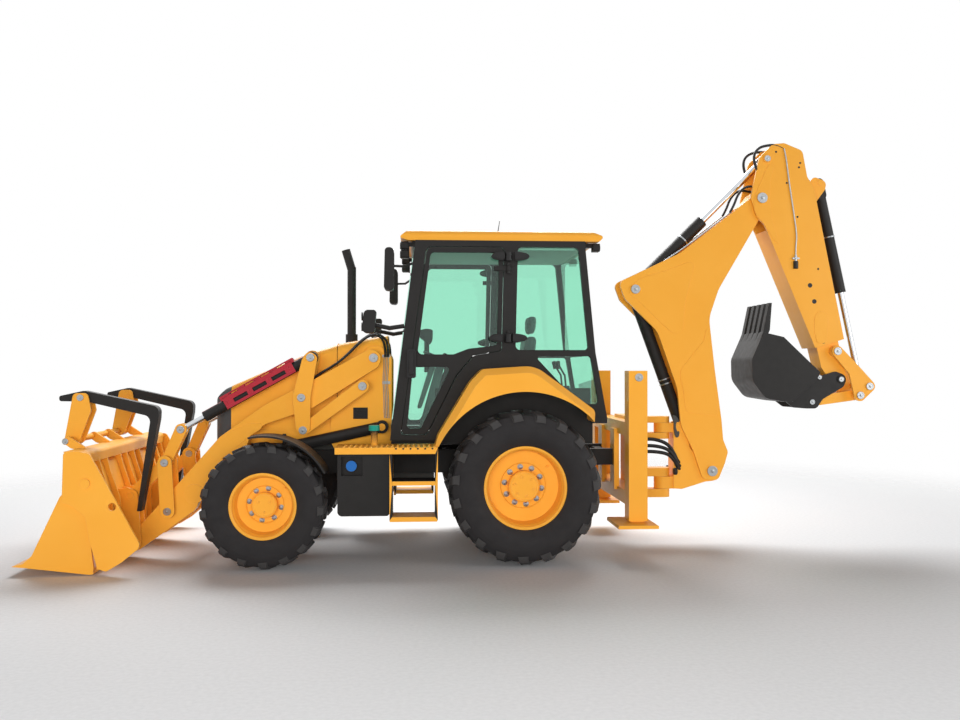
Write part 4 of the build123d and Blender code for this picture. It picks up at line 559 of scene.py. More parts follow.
def tyre_section(half, rim_radius, base):
    """Half of the carcass from bead to crown as (y, r): bulged at the belly, squared at the shoulder."""
    rise = base - rim_radius
    points = [(0.66 * half, rim_radius - 4), (0.74 * half, rim_radius + 2),
              (0.86 * half, rim_radius + 0.14 * rise), (0.96 * half, rim_radius + 0.34 * rise),
              (0.985 * half, rim_radius + 0.55 * rise), (0.95 * half, rim_radius + 0.76 * rise),
              (0.86 * half, base - 0.08 * rise), (0.76 * half, base), (0.4 * half, base + 3), (0, base + 4)]
    line = smooth_line(points, 5)
    rings = [rim_radius + 0.20 * rise, rim_radius + 0.64 * rise]
    return [(y + sum(2.5 * max(0, 1 - abs(r - ring) / 5) for ring in rings), r) for y, r in line]


def tread_bar(half, radius, lug_height, stations):
    """One bar on the left half as rows of four corners: foot and top of its two flanks, in mm."""
    slant = BAR_SLANT * half
    crown = math.sqrt(radius ** 2 - slant ** 2)
    inner = BAR_WIDTH * half + 16
    outer = BAR_WIDTH * half + 34
    foot = 0.86 * radius
    rows = []
    for share, drop in stations:
        lead = slant + share * (outer - 2 * slant)
        trail = slant - inner + share * (inner - 2 * slant)
        y = share * half
        top = crown - drop * lug_height
        rows.append([(trail - 7, y, foot), (trail, y, top), (lead, y, top), (lead + 7, y, foot)])
    return rows


def lugged_tyre(side, axle, radius, width, rim_radius, lugs, lug_height):
    """Carcass and bars of one wheel, about the Y axis through its centre."""
    half = width / 2
    bm = bmesh.new()
    section = tyre_section(half, rim_radius, radius - lug_height)
    section = section + [(-y, r) for y, r in reversed(section[:-1])]
    lathe(bm, section, facing(axle, LEFT), 96)
    corner = -math.asin(BAR_SLANT * half / radius)
    for row in (1, -1):
        for i in range(lugs):
            angle = side * (corner + 2 * math.pi * (i + (0.5 if row < 0 else 0)) / lugs)
            turn = Matrix.Translation(axle) @ Matrix.Rotation(angle, 4, "Y")
            grid = []
            for corner_row in tread_bar(half, radius, lug_height, BAR_STATIONS):
                places = [Vector((side * t, row * side * y, z)) / 1000 for t, y, z in corner_row]
                grid.append([bm.verts.new(turn @ place) for place in places])
            for a, b in zip(grid, grid[1:]):
                for k in range(3):
                    bm.faces.new((a[k], a[k + 1], b[k + 1], b[k])).material_index = 1
            bm.faces.new(grid[0]).material_index = 1
            bm.faces.new(grid[-1]).material_index = 1
    return bm


WHEELS = [("front", 2200, 947, 528, 340, 280, 17, 30), ("rear", 0, 863, 660, 490, 356, 19, 38)]
for end, x, y, radius, width, rim_radius, lugs, lug_height in WHEELS:
    for side_name, side in SIDES:
        axle = spot(x, side * y, radius)
        built = lugged_tyre(side, axle, radius, width, rim_radius, lugs, lug_height)
        tyre = piece(f"{end}_tread_{side_name}", built, [TYRE_RUBBER, LUG_RUBBER_PAINTED_LIGHTER], f"{end}_wheel_{side_name}",
                     bevel_mm=3.5, smooth_deg=40)
        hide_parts(f"{end}_tyre_{side_name}")

# %% [markdown]
# ## Wheel nuts and hub bolts
# Each wheel is held by a ring of studs with hexagon nuts, and the hub's cover by a few smaller bolts.
# They could be one bolt with an array on a circle; building the ring in one mesh keeps one piece a wheel.
# The nuts are zinc-plated, the cover bolts were painted over with the hub.

# %% Wheel nuts and hub bolts
# Per wheel: centre x and z, face and reach of the hub, (count, circle, size) of nuts and bolts, cover ring
HUBS = {
    "front": (2200, 528, 919.4, 74, (8, 136, 20), (3, 58, 11), 96),
    "rear": (0, 660, 839.4, 96, (10, 163, 22), (6, 84, 11), 120),
}
VALVE = [(-6, 11), (4, 11), (6, 7), (34, 6), (36, 8), (50, 8), (53, 5), (53, 0)]
for end, (x, z, face, reach, nuts, bolts, ring) in HUBS.items():
    for side_name, side in SIDES:
        bm = bmesh.new()
        out = (0, side, 0)
        for (count, circle, size), level, finish in ((nuts, face, 0), (bolts, face + reach, 1)):
            for i in range(count):
                angle = 2 * math.pi * (i + 0.25) / count
                place = spot(x + circle * math.cos(angle), side * level, z + circle * math.sin(angle))
                bolt(bm, facing(place, out), size, finish)
        cover = facing(spot(x, side * (face + reach), z), out)
        lathe(bm, [(-2, ring), (3, ring - 2), (3, ring - 9), (-2, ring - 11)], cover, 64, 1)
        valve_circle = 0.86 * nuts[1]
        valve = facing(spot(x - valve_circle * 1.45, side * (face + 8), z + valve_circle * 1.2), out)
        lathe(bm, VALVE, valve, 16, 1)
        piece(f"{end}_wheel_nuts_{side_name}", bm, [ZINC_STEEL, YELLOW_ENAMEL], f"{end}_wheel_{side_name}",
              bevel_mm=0.8)
print("wheel nuts on", len(HUBS) * 2, "wheels")

# %% [markdown]
# ## Pin heads
# Every joint of the linkage turns on a hardened pin, kept by a steel plate and one bolt on its end. The
# CAD has the pins; a ray shot at each one from the side finds where its end lies, so a head can be seated
# on it without copying any number from the solids.

# %% Pin heads
def ray(node, start, direction):
    """Whether a ray meets a CAD node, and the place and the normal there."""
    layer = bpy.context.evaluated_depsgraph_get()
    return NODES[node].ray_cast(start, direction, depsgraph=layer)[:3]


def end_face(nodes, x, z, side):
    """The node whose face lies furthest out at (x, z) in side view, and its Y in mm."""
    best = None
    for name in nodes:
        hit, place, _ = ray(name, spot(x, side * 3000, z), Vector((0, -side, 0)))
        if hit and (best is None or side * place.y > side * best[1] / 1000):
            best = (name, place.y * 1000)
    return best


PIN_HEADS = [
    (1310, 1771, 40, ("main_frame", "loader_arms")), (1407, 1518, 38, ("main_frame", "lower_links")),
    (1944, 1417, 36, ("bellcranks",)), (1865, 1773, 36, ("tilt_pins",)), (1929, 1128, 36, ("bellcranks",)),
    (3005, 1136, 34, ("levers",)), (3132, 848, 34, ("upper_link_pins",)),
    (3106, 421, 34, ("lower_link_pins",)),
    (3800, 1425, 28, ("fork_carriers", "fork_tines")), (3870, 1062, 26, ("fork_carriers", "loader_bucket")),
    (-1902, 695, 50, ("boom",)), (-1159, 2433, 44, ("boom",)), (-2388, 3315, 50, ("stick_outer",)),
    (-2440, 3695, 30, ("stick_outer",)), (-3119, 1843, 38, ("stick_inner", "rocker_links")),
    (-3433, 1505, 36, ("rocker_links", "hoe_ram_rod")), (-3341, 1418, 36, ("rocker_links", "bucket_link")),
    (-3171, 1573, 26, ("hoe_bucket", "stick_inner")), (-2888, 1353, 26, ("hoe_bucket", "bucket_link")),
    (-2961, 1592, 22, ("hoe_bucket",)), (-2681, 1375, 22, ("hoe_bucket",)),
    (-1018, 1598, 36, ("rear_frame", "stabilizer_left", "stabilizer_right")),
]
heads = {}
for x, z, radius, nodes in PIN_HEADS:
    for side_name, side in SIDES:
        node, end_y = end_face(nodes, x, z, side)
        bm = heads.setdefault(NODES[node]["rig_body"], bmesh.new())
        place = facing(spot(x, end_y, z), (0, side, 0))
        dish = [(6, 0.70 * radius), (5, 0.68 * radius), (5, 0)]
        lathe(bm, [(-2, radius), (4, radius), (6, radius - 2.5), *dish], place, 40)
        bolt(bm, Matrix.Translation((0, side * 0.005, 0)) @ place, max(8, 0.30 * radius))
for body, bm in heads.items():
    piece(f"pin_heads_{body}", bm, [ZINC_STEEL], body, bevel_mm=0.8)
print("pin heads on", sorted(heads))

# %% [markdown]
# ## Ram collars
# Bright bands are clamped round the barrels where the pipes are held. Each is a short turned ring whose
# axis is the ram's own, between its two pins.

# %% Ram collars
RAM_COLLARS = [
    ("boom_ram_barrel", (-1640, 1115), (-1159, 2433), (440, 484), 12),
    ("stick_ram_barrel", (-1159, 2433), (-2440, 3695), (690,), 16),
    ("hoe_ram_barrel", (-3005, 3491), (-3433, 1505), (530,), 12),
]
for node, base, eye, distances, width in RAM_COLLARS:
    bm = bmesh.new()
    foot = spot(base[0], 0, base[1])
    axis = (spot(eye[0], 0, eye[1]) - foot).normalized()
    for distance in distances:
        middle = foot + axis * distance / 1000
        wall = ray(node, middle + LEFT, -LEFT)[1]
        reach = (wall.y - middle.y) * 1000
        ring = [(0, reach - 3), (0, reach + 5), (2, reach + 6.5)]
        ring += [(width - along, radius) for along, radius in reversed(ring)]
        lathe(bm, ring, facing(middle, axis), 48)
        bolt(bm, facing(middle + LEFT * (reach + 6) / 1000 + axis * width / 2000, LEFT), 7)
    piece(f"{node}_collars", bm, [ZINC_STEEL], NODES[node]["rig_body"], bevel_mm=0.6)
print("collars on", [row[0] for row in RAM_COLLARS])

# %% [markdown]
# ## Door hinges and handles
# The doors hang on cast hinges under long oval covers, half on the door and half on the cab's middle
# post, so each half rides on its own body. The handle is a moulded grip in a shallow dish.

# %% Door hinges and handles
def oval(half_length, half_height, low, high):
    """The part of an oval between two shares of its length, as corners in mm."""
    steps = 14
    shares = [low + (high - low) * i / steps for i in range(steps + 1)]
    edge = [half_height * (1 - abs(s) ** 2.6) ** (1 / 2.2) for s in shares]
    top = [(s * half_length, e) for s, e in zip(shares, edge)]
    return top + [(x, -y) for x, y in reversed(top) if y > 1e-6]


def side_view(x, y, z, side):
    """Local X forward, local Y up and local Z outwards on one side of the machine."""
    frame_turn = Matrix(((1, 0, 0), (0, 0, side), (0, 1, 0))).to_4x4()
    return Matrix.Translation(spot(x, side * y, z)) @ frame_turn


HINGE_COVERS = ((102, 2663), (122, 1943))
HINGE_X = 118
HINGE_Y = 742
COVER_Y = 760
HANDLE_PLACE = (970, 757)
KNUCKLE = [(-40, 0), (-40, 30), (-36, 34), (36, 34), (40, 30), (40, 0)]
GRIP = [(-15, -96), (15, -96), (17, -60), (17, 60), (15, 96), (-15, 96), (-17, 60), (-17, -60)]
for side_name, side in SIDES:
    for body, low, high in ((f"door_{side_name}", 0.34, 1.0), ("chassis", -1.0, -0.26)):
        bm = bmesh.new()
        for x, z in HINGE_COVERS:
            prism(bm, oval(170, 42, low, high), -16, 12, side_view(x, COVER_Y, z, side))
            prism(bm, oval(150, 30, low, high), 10, 20, side_view(x, COVER_Y, z, side))
            if body == "chassis":
                lathe(bm, KNUCKLE, facing(spot(HINGE_X, side * HINGE_Y, z), UP, LEFT), 32)
        piece(f"hinge_covers_{side_name}_{body}", bm, [BLACK_ABS], body, bevel_mm=5)
    bm = bmesh.new()
    dish = side_view(*HANDLE_PLACE, 1720, side)
    prism(bm, chamfered(40, 128, 14, 12), -6, 5, dish)
    prism(bm, oblong(-18, -104, 18, 104), 4, 13, dish)
    prism(bm, oblong(-14, 60, 14, 92), 12, 30, dish)
    prism(bm, oblong(-14, -92, 14, -60), 12, 30, dish)
    prism(bm, GRIP, 26, 40, dish)
    lathe(bm, [(4, 12), (15, 12), (16, 9), (16, 0)], side_view(*HANDLE_PLACE, 1800, side), 20, 1)
    piece(f"door_handle_{side_name}", bm, [BLACK_ABS, ZINC_STEEL], f"door_{side_name}",
          bevel_mm=3)
print("hinge covers and handles made")

# %% [markdown]
# ## Louvre, lamp lenses and mirror glass
# A pressed louvre lets air into the tower. The lamps have clear lenses with an amber one beside each road
# lamp, and the mirrors are silvered glass with a thin bezel. Each lens is a shallow dome, not a flat disc,
# because real ones are moulded with a crown that catches a round highlight.

# %% Louvre, lamp lenses and mirror glass
def on_wall(node, x, z, side):
    """The side view whose origin lies on the outer face of a CAD node."""
    return side_view(x, abs(end_face((node,), x, z, side)[1]), z, side)


for side_name, side in SIDES:
    bm = bmesh.new()
    panel = on_wall("main_frame", 1432, 1270, side)
    prism(bm, oblong(-66, -52, 66, 52), -3, 4, panel)
    for z in range(-40, 41, 16):
        prism(bm, oblong(-56, z - 6, 56, z + 2), 3, 12, panel)
    piece(f"tower_louvre_{side_name}", bm, [BLACK_ABS], "chassis", bevel_mm=1.5)


def lamp_lens(bm, place, radius, crown, finish):
    """A bezel ring and a domed lens with fine flutes, in mm."""
    lathe(bm, [(-4, radius + 5), (6, radius + 5), (8, radius + 3), (8, radius), (2, radius)], place, 40, 0)
    flutes = [radius - 0.5] + [share * radius for share in (0.86, 0.72, 0.58, 0.44, 0.3, 0.15, 0)]
    line = [(2 + crown * (1 - (r / radius) ** 2) + (0.8 if i % 2 else 0), r) for i, r in enumerate(flutes)]
    lathe(bm, line, place, 40, finish)


bm = bmesh.new()
for side_name, side in SIDES:
    for z in (2690, 2768):
        lamp_lens(bm, facing(spot(1064, side * 600, z), FORWARD), 27, 7, 1)
    lamp_lens(bm, facing(spot(-716, side * 600, 2762), -FORWARD), 27, 7, 1)
    lamp_lens(bm, facing(spot(1397, side * 720, 2132), FORWARD), 33, 8, 1)
    lamp_lens(bm, facing(spot(1397, side * 720, 2040), FORWARD), 33, 8, 2)
piece("lamp_lenses", bm, [BLACK_ABS, CLEAR_LENS, AMBER_LENS], "chassis", bevel_mm=0.6)
bm = bmesh.new()
for side_name, side in SIDES:
    prism(bm, chamfered(64, 166, 10, 6), -2, 5, facing(spot(1126, side * 875, 2527), -FORWARD))
piece("mirror_glass", bm, [MIRROR_GLASS], "chassis", bevel_mm=2)
print("louvres, lenses and mirrors made")

# %% [markdown]
# ## Deck grip and wear-pad plugs
# The deck is pressed with rows of raised round buttons for grip, and its lip has a row of drain holes with
# rolled edges, each with a black disc inside as painted shade for its dark hollow. A ray from above finds the
# deck under each button, so none hangs over its edge. The stick's side shows the dark plugs over its wear
# pads, and small holes drawn as black discs, painted shade.

# %% Deck grip and wear-pad plugs
BUTTON = [(-1, 14), (2, 13), (5, 10), (6, 7), (2, 5), (2, 0)]
for side_name, side in SIDES:
    bm = bmesh.new()
    level = abs(end_face(("side_tanks",), 950, 1000, side)[1])
    for i in range(6):
        hole = side_view(1098 - 61.4 * i, level, 1000, side)
        lathe(bm, [(-2, 13), (1.5, 13), (2.5, 11), (2.5, 9), (-1, 8), (-1, 0)], hole, 24, 0)
        # Painted shade: a black disc inside each drain hole stands for the dark of the hole.
        lathe(bm, [(0.4, 7.9), (0.6, 0)], hole, 24, 1)
    for row_y in (790, 870, 950, 1010):
        for i in range(18):
            hit, top, normal = ray("side_tanks", spot(770 + 45 * i, side * row_y, 1105), -UP)
            if hit and 0.95 < top.z < 1.06 and normal.z > 0.9:
                lathe(bm, BUTTON, facing(top, UP, LEFT), 16, 0)
    piece(f"deck_grip_{side_name}", bm, [YELLOW_ENAMEL, BLACK_ABS], "chassis")

WEAR_PLUGS = ((-2861, 2478), (-2903, 2323), (-2959, 2098), (-2992, 1939))
SMALL_HOLE_SHADE_DISCS = ((-2739, 3138), (-2942, 2637), (-2634, 3464), (-2767, 3659), (-2755, 3617), (-2529, 3763))
bm = bmesh.new()
for side_name, side in SIDES:
    # The small holes are black discs, painted shade for the dark inside them; the wear plugs are black plugs.
    for places, radius in ((WEAR_PLUGS, 21), (SMALL_HOLE_SHADE_DISCS, 9)):
        plug = [(-2, radius + 2), (1.5, radius + 1), (2, radius - 2), (0.8, 0.6 * radius), (0.8, 0)]
        for x, z in places:
            lathe(bm, plug, on_wall("stick_outer", x, z, side), 24)
piece("wear_pad_plugs", bm, [BLACK_ABS], "stick_outer")
print("deck buttons and wear pad plugs made")

# %% [markdown]
# ## Overlay plates
# The boom, the stick and the loader arms are box sections with second plates welded on where the load is
# highest. Their edges show as fine lines. Each is a 4 mm plate with a rounded edge, which gives a real
# shadow line, where a drawn line would vanish in other light.

# %% Overlay plates
def rounded(points, radius, steps=5):
    """An outline with its corners rounded off, in mm."""
    line = []
    count = len(points)
    for i in range(count):
        before, here, after = (Vector(points[(i + k) % count]) for k in (-1, 0, 1))
        back = (before - here).normalized() * min(radius, 0.45 * (before - here).length)
        ahead = (after - here).normalized() * min(radius, 0.45 * (after - here).length)
        for k in range(steps + 1):
            t = k / steps
            line.append(tuple(here + back * (1 - t) ** 2 + ahead * t ** 2))
    return line


def middle_of(outline):
    """The mean of an outline's corners."""
    return [sum(values) / len(outline) for values in zip(*outline)]


OVERLAYS = [
    ("boom", 40, [(-1180, 2530), (-1524, 2637), (-1690, 2705), (-1735, 2670), (-1640, 2308),
                  (-1625, 2051), (-1560, 1995), (-1500, 2030), (-1180, 2330), (-1090, 2400)]),
    ("boom", 40, [(-1845, 2052), (-1830, 1951), (-1606, 1675), (-1590, 1611), (-1622, 1483),
                  (-1650, 1260), (-1960, 1220), (-1920, 1660), (-1880, 2060)]),
    ("stick_outer", 45, [(-2450, 3640), (-2519, 3637), (-2474, 3507), (-2464, 3323), (-2482, 3120),
                         (-2564, 2868), (-2510, 2905), (-2400, 3080), (-2310, 3185), (-2310, 3320)]),
    ("stick_outer", 40, [(-2905, 2185), (-2900, 2035), (-2930, 1915), (-3030, 1925), (-3040, 2200),
                         (-2960, 2240)]),
    ("loader_arms", 40, [(2700, 850), (2568, 935), (2404, 1075), (2300, 1140), (2290, 1190),
                         (2420, 1190), (2569, 1115), (2700, 1010), (2790, 900)]),
]
plates = {}
for body, corner, outline in OVERLAYS:
    x, z = middle_of(outline)
    local = [(px - x, pz - z) for px, pz in rounded(outline, corner)]
    for side_name, side in SIDES:
        bm = plates.setdefault(body, bmesh.new())
        prism(bm, local, -2, 4, on_wall(body, x, z, side))
for body, bm in plates.items():
    piece(f"overlay_plates_{body}", bm, [YELLOW_ENAMEL], body, bevel_mm=1.5)
print("overlay plates on", sorted(plates))

# %% [markdown]
# ## Pipes and hoses
# Oil runs in bent steel pipe along the arms and in rubber hose across the joints. Both are drawn as smooth
# NURBS curves with a round section. A hose that crosses a joint becomes a plain mesh that is left on
# neither body; one that stays on a body is left a curve.

# %% Pipes and hoses
def run(name, points, radius_mm):
    """A smooth curve through the route, with a round section."""
    data = bpy.data.curves.new(name, "CURVE")
    data.dimensions = "3D"
    line = data.splines.new("NURBS")
    line.points.add(len(points) - 1)
    for point, place in zip(line.points, points):
        point.co = (*spot(*place), 1)
    line.order_u = 3
    line.use_endpoint_u = True
    line.resolution_u = 8
    data.bevel_depth = radius_mm / 1000
    data.bevel_resolution = 4
    data.use_fill_caps = True
    return new_object(name, data)


def shape_of(made):
    """A new mesh of the shape that an object's modifiers or its curve give."""
    return bpy.data.meshes.new_from_object(made.evaluated_get(bpy.context.evaluated_depsgraph_get()))


def centre_line(curve):
    """Points along a curve's own line, read from the curve with no section."""
    depth = curve.data.bevel_depth
    curve.data.bevel_depth = 0
    bpy.context.view_layer.update()
    plain = shape_of(curve)
    points = [v.co.copy() for v in plain.vertices]
    bpy.data.meshes.remove(plain)
    curve.data.bevel_depth = depth
    bpy.context.view_layer.update()
    return points


def hose(name, points, radius_mm, body, other=None):
    """A rubber hose that rides on a body, or, given a second body, a plain mesh that rides on neither."""
    made = run(name, points, radius_mm)
    made.data.materials.append(HOSE_RUBBER)
    path = centre_line(made)
    if other is None:
        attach(made, body)
        return
    solid = shape_of(made)
    solid.shade_smooth()
    bpy.data.objects.remove(made)
    tube = new_object(name, solid)
    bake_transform(tube)


def pipe(name, points, radius_mm, body):
    """A bent steel pipe."""
    made = run(name, points, radius_mm)
    made.data.materials.append(ZINC_STEEL)
    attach(made, body)


def at_y(y, places):
    """A route at one distance from the middle plane, from its (x, z) places in mm."""
    return [(x, y, z) for x, z in places]


ARM_HOSE_Y = (432, 466)
TOWER_PIPES = 4
for side_name, side in SIDES:
    for i, y in enumerate(ARM_HOSE_Y):
        drop = 10 * i
        root = 1182 + 25 * i
        route = [(root, side * 400, 1780), (root, side * 402, 1870 - drop),
                 (root + 22, side * (y - 14), 1950 - drop)]
        route += at_y(side * y, [(1280, 1992 - drop), (1345, 1985 - drop), (1430, 1925 - drop),
                                 (1530, 1820 - drop), (1643, 1716), (1801, 1626), (1850, 1584)])
        hose(f"arm_hose_{side_name}_{i}", route, 11, "chassis", "loader_arms")
    level = abs(end_face(("main_frame",), 1215, 1500, side)[1])
    bm = bmesh.new()
    for i in range(TOWER_PIPES):
        x = 1178 + 14 * i
        places = [(x, 1800), (x, 1700), (x + 12, 1560), (x, 1420), (x, 1260), (x - 6, 1225)]
        pipe(f"tower_pipe_{side_name}_{i}", at_y(side * (level + 4.2), places), 4, "chassis")
    for z in (1790, 1548):
        clamp = side_view(1199, level, z, side)
        prism(bm, oblong(-36, -13, 36, 13), -1, 6, clamp)
        bolt(bm, clamp @ Matrix.Translation((0, 0, 0.005)), 4)
    piece(f"pipe_clamps_{side_name}", bm, [ZINC_STEEL], "chassis", bevel_mm=2)
print("loader pipes and hoses made")

# %% [markdown]
# ## Backhoe hoses, stick pipe and boom lock
# Three thick hoses feed the backhoe across its swing post, and two more loop over the stick's head. A pipe
# runs down the stick to a quick coupler. The hook above the swing frame is a casting that locks the boom
# for driving.

# %% Backhoe hoses, stick pipe and boom lock
SWING_HOSES = ((118, 0), (128, 62), (122, 118))
STICK_HEAD_Y = 148
BOOM_PIPE_Y = 112
STICK_PIPE_Y = 172
STICK_HEAD_ROUTE = [(-2345, 3590), (-2318, 3650), (-2316, 3745), (-2366, 3805), (-2450, 3828),
                    (-2540, 3832), (-2604, 3796)]
BOOM_TO_STICK_ROUTE = [(-2090, 3180), (-2130, 3250), (-2165, 3350), (-2230, 3425), (-2310, 3440),
                       (-2400, 3420)]
BOOM_PIPE_ROUTE = [(-1439, 2702), (-1645, 2838), (-1870, 3010), (-2040, 3140), (-2090, 3180)]
STICK_PIPE_ROUTE = [(-2604, 3793), (-2625, 3700), (-2647, 3508), (-2702, 3140), (-2728, 2955),
                    (-2716, 2850), (-2715, 2760)]
for i, (y, drop) in enumerate(SWING_HOSES):
    route = at_y(y, [(-1162, 1000 - drop), (-1240, 1003 - drop), (-1360, 1000 - drop),
                     (-1480, 955 - 0.8 * drop), (-1545, 850 - 0.5 * drop)])
    route += [(-1565, y - 10, 800 - 0.5 * drop), (-1600, y - 40, 770 - 0.5 * drop)]
    hose(f"swing_hose_{i}", route, 17, "carriage", "swing_frame")
for i, y in enumerate((-STICK_HEAD_Y, STICK_HEAD_Y)):
    hose(f"stick_head_hose_{i}", at_y(y, STICK_HEAD_ROUTE), 13, "stick_outer")
for i, y in enumerate((-BOOM_PIPE_Y, BOOM_PIPE_Y)):
    hose(f"boom_to_stick_hose_{i}", at_y(y, BOOM_TO_STICK_ROUTE), 12, "boom", "stick_outer")
    pipe(f"boom_pipe_{i}", at_y(y, BOOM_PIPE_ROUTE), 7, "boom")
for side_name, side in SIDES:
    y = side * STICK_PIPE_Y
    pipe(f"stick_pipe_{side_name}", at_y(y, STICK_PIPE_ROUTE), 7, "stick_outer")
    bm = bmesh.new()
    down = facing(spot(-2715, y, 2770), -UP, LEFT)
    lathe(bm, [(0, 0), (0, 12), (18, 12), (18, 17), (40, 17), (40, 13), (62, 13), (62, 0)], down, 24, 0)
    prism(bm, hexagon(20), 20, 38, down, 0)
    lathe(bm, [(60, 20), (64, 23), (130, 23), (134, 20), (134, 0)], down, 32, 1)
    plate = side_view(-2715, 160, 2735, side)
    prism(bm, oblong(-34, -8, 34, 8), -2, 22, plate, 0)
    piece(f"stick_coupler_{side_name}", bm, [ZINC_STEEL, BLACK_ABS], "stick_outer", bevel_mm=1.2)

LOCK_HOOK = [(-1528, 1228), (-1551, 1226), (-1572, 1205), (-1587, 1176), (-1584, 1158), (-1570, 1170),
             (-1558, 1150), (-1556, 1112), (-1566, 1080), (-1577, 1066), (-1585, 1078), (-1591, 1058),
             (-1582, 1022), (-1562, 1012), (-1546, 1040), (-1537, 1100), (-1538, 1160), (-1528, 1190)]
HOOK_Y = 98
HOOK_CENTRE = (-1555, 1120)
bm = bmesh.new()
local = [(x - HOOK_CENTRE[0], z - HOOK_CENTRE[1]) for x, z in rounded(LOCK_HOOK, 8, 3)]
prism(bm, local, -6, 18, side_view(HOOK_CENTRE[0], HOOK_Y, HOOK_CENTRE[1], 1))
lathe(bm, [(17, 12), (21, 12), (21, 6), (17, 6)], side_view(-1564, HOOK_Y, 1036, 1), 24)
piece("boom_lock_hook", bm, [CAST_IRON], "swing_frame", bevel_mm=3)
SWING_RAM_Y = 128
SWING_RAM_Z = 693
for side_name, side in SIDES:
    bm = bmesh.new()
    back = facing(spot(-1526, side * SWING_RAM_Y, SWING_RAM_Z), -FORWARD)
    lathe(bm, [(0, 0), (0, 28), (5, 34), (30, 34), (36, 28), (38, 0)], back, 32, 0)
    lug = facing(spot(-1526, side * 112, SWING_RAM_Z), -FORWARD)
    prism(bm, oblong(-26, -20, 26, 20), 6, 30, lug, 0)
    piece(f"swing_ram_eye_{side_name}", bm, [BLACK_POWDER_COAT], "swing_frame", bevel_mm=2)
    bm = bmesh.new()
    ram = facing(spot(-1272, side * SWING_RAM_Y, SWING_RAM_Z), FORWARD)
    lathe(bm, [(0, 0), (0, 17), (26, 17), (26, 0)], ram, 32, 0)
    lathe(bm, [(20, 18), (22, 30), (34, 34), (42, 34), (44, 30), (130, 30), (130, 0)], ram, 32, 1)
    piece(f"swing_ram_{side_name}", bm, [HARD_CHROME, BLACK_POWDER_COAT], "carriage",
          bevel_mm=1)
print("backhoe fittings made")

# %% [markdown]
# ## The operator's seat
# A machine seat is moulded foam under stitched vinyl and cloth. The foam pushes the cover out between its
# seams, which is just what a cloth simulation with inner pressure does: each pad starts as a slightly small
# block, is remeshed to an even net, blown up, capped, and its result is kept as plain mesh.

# %% Seat cloth
SEAT_CLOTH = skin("seat_cloth", "#3F4446", "#4C5153", "#5B6163", 5, 1.2, (0.75, 0.9), cloud_mm=60, IOR=1.45,
                  Sheen_Weight=0.3, Sheen_Roughness=0.5)
PAD_SWELL = 0.012
PAD_FRAMES = 20
PAD_PRESSURE = 4
NET = 0.006
SEAM_WIDTH = 0.012
SEAM_DEPTH = 0.006


def bake(made):
    """Keeps the shape that an object's modifiers give as its own mesh."""
    shape = shape_of(made)
    made.modifiers.clear()
    made.data = shape


def pad(name, outline, half_width, channels):
    """A padded cushion from its side outline (x, z) in mm, swollen by cloth pressure, with sewn channels."""
    bm = bmesh.new()
    x, z = middle_of(outline)
    small = [((px - x) * 0.95, (pz - z) * 0.9) for px, pz in outline]
    prism(bm, rounded(small, 34, 6), -half_width + 12, half_width - 12, side_view(x, 0, z, 1))
    made = piece(name, bm, [SEAT_CLOTH], "chassis", bevel_mm=18, smooth_deg=60)
    net = made.modifiers.new("even_net", "REMESH")
    net.mode = "VOXEL"
    net.voxel_size = NET
    bake(made)
    before = [v.co.copy() for v in made.data.vertices]
    cloth = made.modifiers.new("cloth", "CLOTH")
    cloth.settings.use_pressure = True
    cloth.settings.uniform_pressure_force = PAD_PRESSURE
    cloth.settings.effector_weights.gravity = 0
    scene = bpy.context.scene
    for step in range(1, PAD_FRAMES + 1):
        scene.frame_set(step)
    bake(made)
    scene.frame_set(1)
    for vertex, start in zip(made.data.vertices, before):
        move = vertex.co - start
        if move.length > PAD_SWELL:
            vertex.co = start + move * (PAD_SWELL / move.length)
        sew = max(max(0.0, 1 - abs(along(vertex.co) - line) / SEAM_WIDTH) for along, line in channels)
        vertex.co -= vertex.normal * SEAM_DEPTH * sew * sew
    soften = made.modifiers.new("soften", "SUBSURF")
    soften.levels = 1
    soften.render_levels = 1
    made.data.shade_smooth()
    return made


def across(place):
    """The distance from the middle plane."""
    return abs(place.y)


seat_pads = [
    pad("seat_cushion", [(-150, 1400), (-150, 1520), (250, 1535), (330, 1490), (320, 1400)], 250,
        [(across, 0.14), (lambda place: place.x, spot(120, 0, 0).x)]),
    pad("seat_back", [(-150, 1505), (-50, 1515), (-110, 2010), (-200, 2010)], 230,
        [(across, 0.13), (lambda place: place.z, 1.74)]),
    pad("seat_headrest", [(-192, 1995), (-130, 1995), (-130, 2180), (-215, 2180)], 130,
        [(lambda place: place.z, 2.09)]),
]
print("seat pads", [(o.name, len(o.data.vertices)) for o in seat_pads])

# %% [markdown]
# ## Controls
# The rest of the operator's place: a seat box, a steering column with a three-spoke wheel, an instrument
# pod, and the backhoe's lever tower behind. The CAD node has the plain forms; these pieces stand for it at
# the same places with rims, boots and grips.

# %% Controls
WHEEL_CENTRE = spot(672, 0, 1762)
WHEEL_AXIS = Vector((-0.4, 0, 1)).normalized()
WHEEL_RADIUS = 190
MIDDLE = side_view(0, 0, 0, 1)
SEAT_BOX = [(-60, 1046), (160, 1046), (160, 1330), (190, 1400), (-90, 1400), (-60, 1330)]
COLUMN = [(820, 1046), (920, 1046), (720, 1772), (650, 1742)]
COLUMN_COVER = [(880, 1300), (920, 1300), (800, 1700), (745, 1690)]
LEVER_TOWER = [(-440, 1046), (-600, 1046), (-575, 1380), (-440, 1400)]
POD = [(905, 1985), (800, 1900), (775, 1935), (770, 2040), (830, 2052), (905, 2035)]


def block(bm, outline, corner, steps, half_width):
    """A rounded block across the middle plane, from its side outline (x, z) in mm."""
    prism(bm, rounded(outline, corner, steps), -half_width, half_width, MIDDLE)


